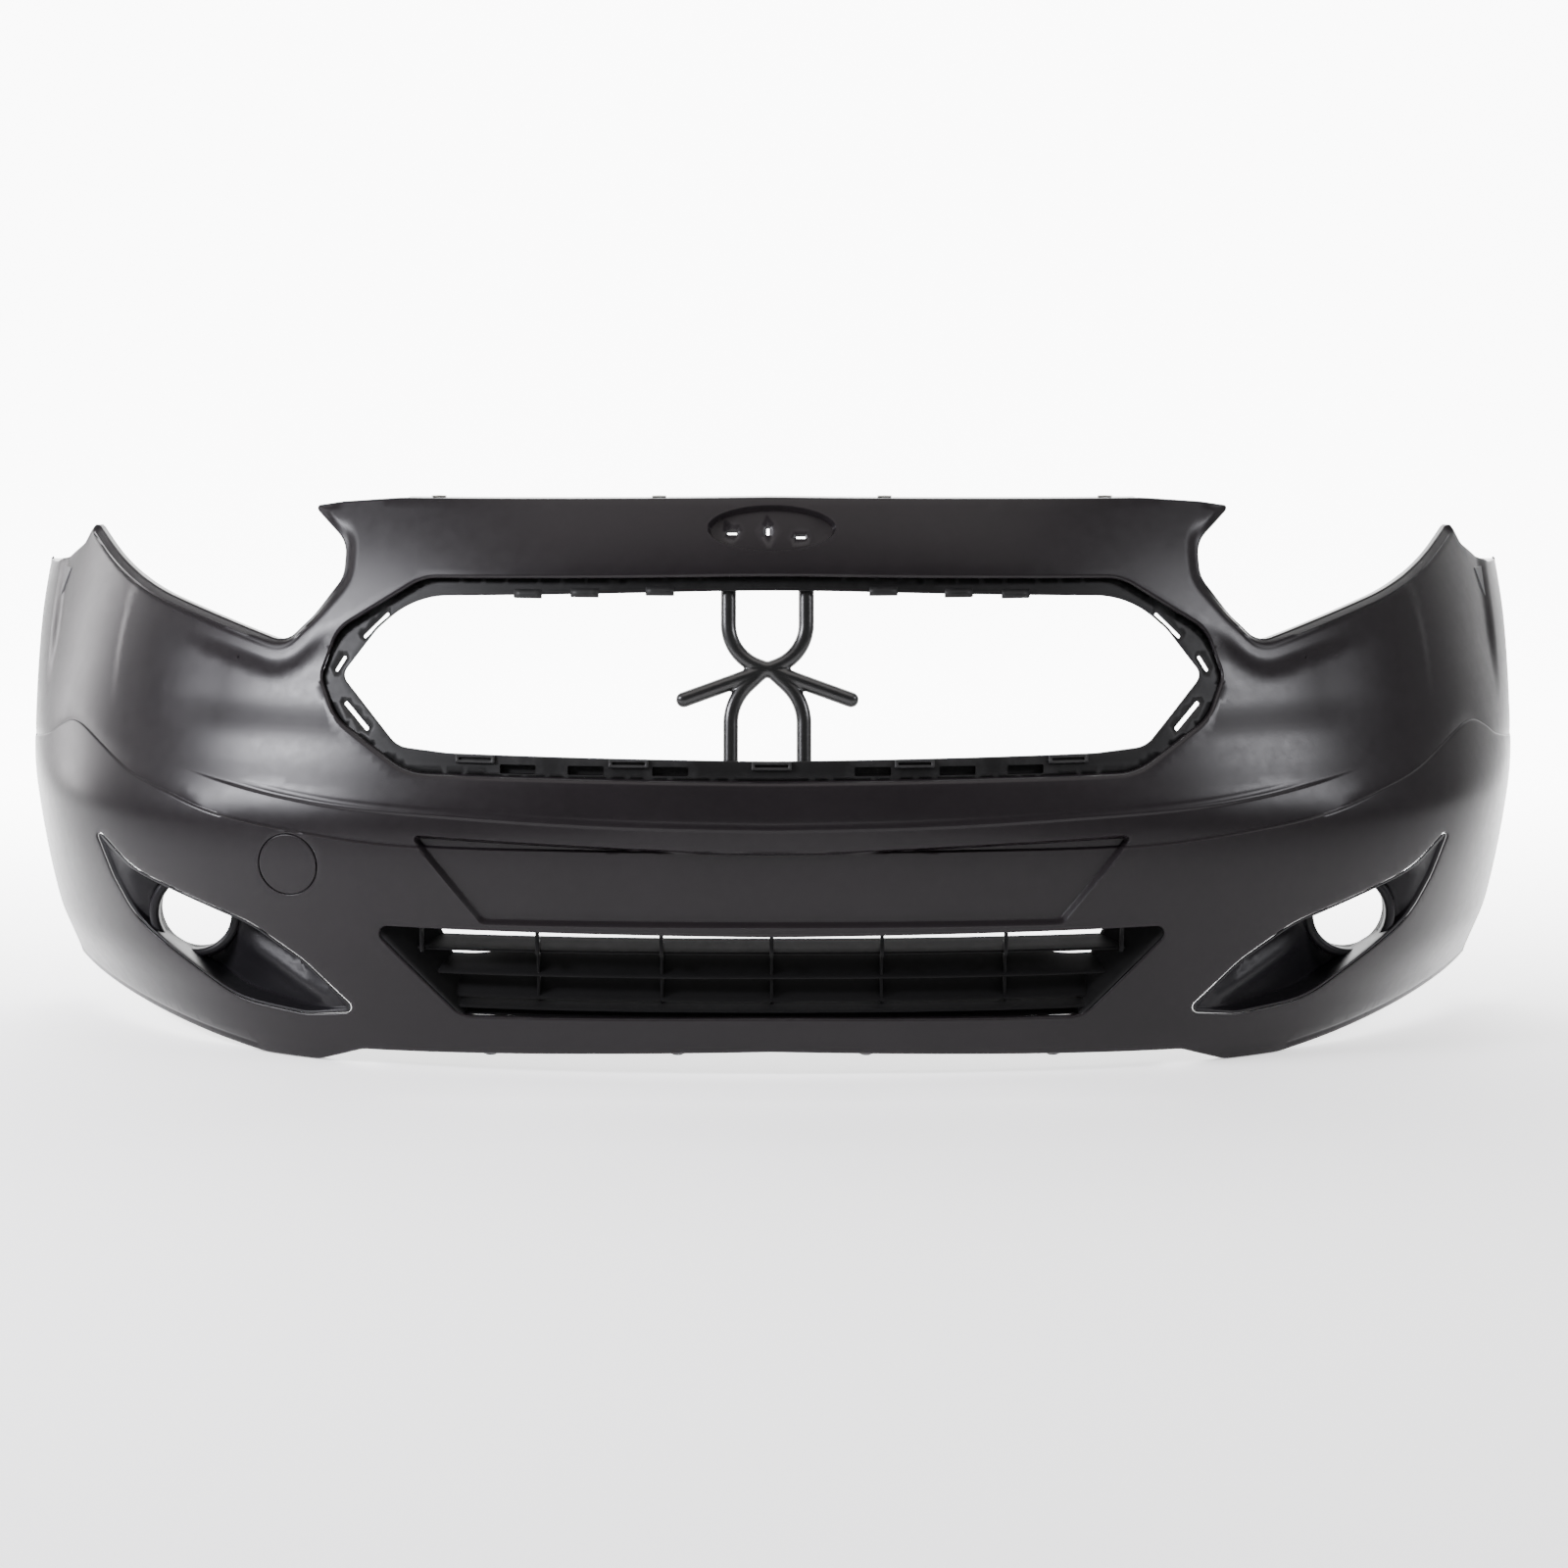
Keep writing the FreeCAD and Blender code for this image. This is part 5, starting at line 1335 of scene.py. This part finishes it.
skin_shell, edge_ring = cover_skin()
flanges(skin_shell, edge_ring)
skin_shell.finish("cover_skin_moulding", SATIN_BLACK, "cover_skin", wall=3.0)
# the rim's material carries painted shade: a darker base colour than the skin's, where the rim lies in
# shadow
upper_rim().finish("cover_skin_grille_rim", RIM_PAINTED_SHADE_BLACK, "cover_skin", wall=2.6)
bosses_and_socket().finish("cover_skin_bosses", SATIN_BLACK, "cover_skin")
tow_cap().finish("tow_eye_cap_face", SATIN_BLACK, "tow_eye_cap", body=CAP_BODY, wall=2.0)
tow_cap_legs().finish("tow_eye_cap_legs", SATIN_BLACK, "tow_eye_cap", body=CAP_BODY)
for side_name, side in SIDES.items():
    node_name = "fog_bezel_" + side_name
    fog_bezel(side).finish(node_name + "_shell", BEZEL_BLACK, node_name, wall=2.4, weld=0.01)
    bezel_collar(side).finish(node_name + "_collar", BEZEL_BLACK, node_name)
fused(centre_brace().finish("centre_brace_tubes", BRACE_BLACK, "centre_brace", "brace_black"), 1.3, 6)
lower_grille().finish("lower_grille_blades", GRILLE_BLACK, "lower_grille", "grille_black")
cheeks = Shell()
for side in SIDES.values():
    cheek(cheeks, side)
cheeks.finish("lower_grille_cheeks", GRILLE_BLACK, "lower_grille", "grille_black", wall=2.4)

REPLACED = (
    "cover_skin", "tow_eye_cap", "fog_bezel_left", "fog_bezel_right", "centre_brace", "lower_grille")
CAD_FINISHES = [
    ("clip_nuts", SPRING_STEEL), ("screws", SCREW_STEEL), ("rivet", RIVET_BLACK),
    ("guide", GUIDE_BLACK), ("bracket", GUIDE_BLACK), ("carrier", GRILLE_BLACK),
]
for node_name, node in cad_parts.items():
    if node_name not in REPLACED:
        finish = next(material for word, material in CAD_FINISHES if word in node_name)
        node.data.materials.clear()
        node.data.materials.append(finish)

# ---------------------------------------------------------------- floor, light and camera


FRONT_GLOW, BACK_GLOW = 0.35, 8.0
GLOW_FROM, GLOW_TO = -0.6, 2.2          # setbacks between which the glow rises
FLOOR_HALF, FLOOR_FRONT, FLOOR_BACK = 9.0, -13.0, 3.0
SWEEP_RADIUS, SWEEP_STEPS, WALL_TOP = 2.2, 12, 7.0


def floor():
    """Pale floor that sweeps up into a glowing back wall, and fades to the sides of the view."""
    mesh = bpy.data.meshes.new("studio_floor")
    profile = [(FLOOR_FRONT, 0.0), (FLOOR_BACK, 0.0)]
    for angle in (math.pi / 2 * n / SWEEP_STEPS for n in range(1, SWEEP_STEPS + 1)):
        sweep = SWEEP_RADIUS * math.sin(angle), SWEEP_RADIUS * (1 - math.cos(angle))
        profile.append((FLOOR_BACK + sweep[0], sweep[1]))
    profile.append((FLOOR_BACK + SWEEP_RADIUS, WALL_TOP))
    points = [(x, y, z) for y, z in profile for x in (-FLOOR_HALF, FLOOR_HALF)]
    faces = [(2 * n, 2 * n + 1, 2 * n + 3, 2 * n + 2) for n in range(len(profile) - 1)]
    mesh.from_pydata(points, [], faces)
    mesh.shade_smooth()
    backdrop = bpy.data.objects.new("studio_floor", mesh)
    bpy.context.scene.collection.objects.link(backdrop)
    nodes = Nodes("studio_white")
    split = nodes.add("SeparateXYZ", {"Vector": nodes.add("TexCoord", {}, "Object")}).node.outputs

    def graded(value, low, high, start, end):
        span = {"Value": value, "From Min": low, "From Max": high, "To Min": start, "To Max": end}
        return nodes.add("MapRange", span, "Result", interpolation_type="SMOOTHSTEP")

    def math_node(operation, first, second=0.0):
        return nodes.add("Math", {0: first, 1: second}, operation=operation)

    distance = math_node("MAXIMUM", math_node("ADD", split["Y"], 4.2), 2.2)
    spread = math_node("DIVIDE", math_node("ABSOLUTE", split["X"]), distance)
    glow = graded(split["Y"], GLOW_FROM, GLOW_TO, FRONT_GLOW, BACK_GLOW)
    nodes.fill(nodes.shader, {
        "Base Color": (0.93, 0.93, 0.93, 1),
        "Roughness": 0.85,
        "Specular IOR Level": 0.1,
        "Emission Color": (1, 1, 1, 1),
        "Emission Strength": math_node("MULTIPLY", glow, graded(spread, 0.25, 0.40, 1.0, 0.1)),
    })
    mesh.materials.append(nodes.material)


def soft_light(name, location, aim, size, power, colour=(1, 1, 1)):
    light = bpy.data.lights.new(name, "AREA")
    light.shape = "RECTANGLE"
    light.size, light.size_y = size
    light.energy = power
    light.color = colour
    lamp = bpy.data.objects.new(name, light)
    lamp.location = location
    lamp.rotation_euler = (Vector(aim) - Vector(location)).to_track_quat("-Z", "Y").to_euler()
    bpy.context.scene.collection.objects.link(lamp)


floor()
soft_light("key", (-2.85, -1.35, 1.85), (-0.5, -0.2, 0.3), (1.0, 0.45), 190, (0.94, 0.94, 1.0))
soft_light("fill", (2.9, -1.3, 1.95), (0.5, -0.2, 0.3), (0.9, 0.45), 60, (0.95, 0.95, 1.0))
soft_light("top", (0, -1.2, 3.4), (0, 0, 0.3), (4.0, 2.4), 75, (1.0, 0.95, 0.94))
soft_light("top_rear", (0, 1.5, 3.6), (0, 0.2, 0.3), (4.4, 2.0), 70)
soft_light("left_strip", (-3.3, 1.75, 1.05), (-0.8, 0.1, 0.42), (0.55, 1.5), 42, (1.0, 0.97, 0.99))
world = bpy.data.worlds.new("studio")
world.use_nodes = True
world.node_tree.nodes["Background"].inputs["Color"].default_value = (1, 1, 1, 1)
world.node_tree.nodes["Background"].inputs["Strength"].default_value = 0.3
bpy.context.scene.world = world

CAMERA_PLACE, CAMERA_AIM = Vector((0.013, -3.9127, 0.817)), Vector((0.013, -0.2627, 0.309))
camera_data = bpy.data.cameras.new("camera")
camera_data.lens, camera_data.sensor_width = 80.4, 36.0
camera_data.clip_end = 60
camera = bpy.data.objects.new("camera", camera_data)
camera.location = CAMERA_PLACE
camera.rotation_euler = (CAMERA_AIM - CAMERA_PLACE).to_track_quat("-Z", "Y").to_euler()
bpy.context.scene.collection.objects.link(camera)
bpy.context.scene.camera = camera
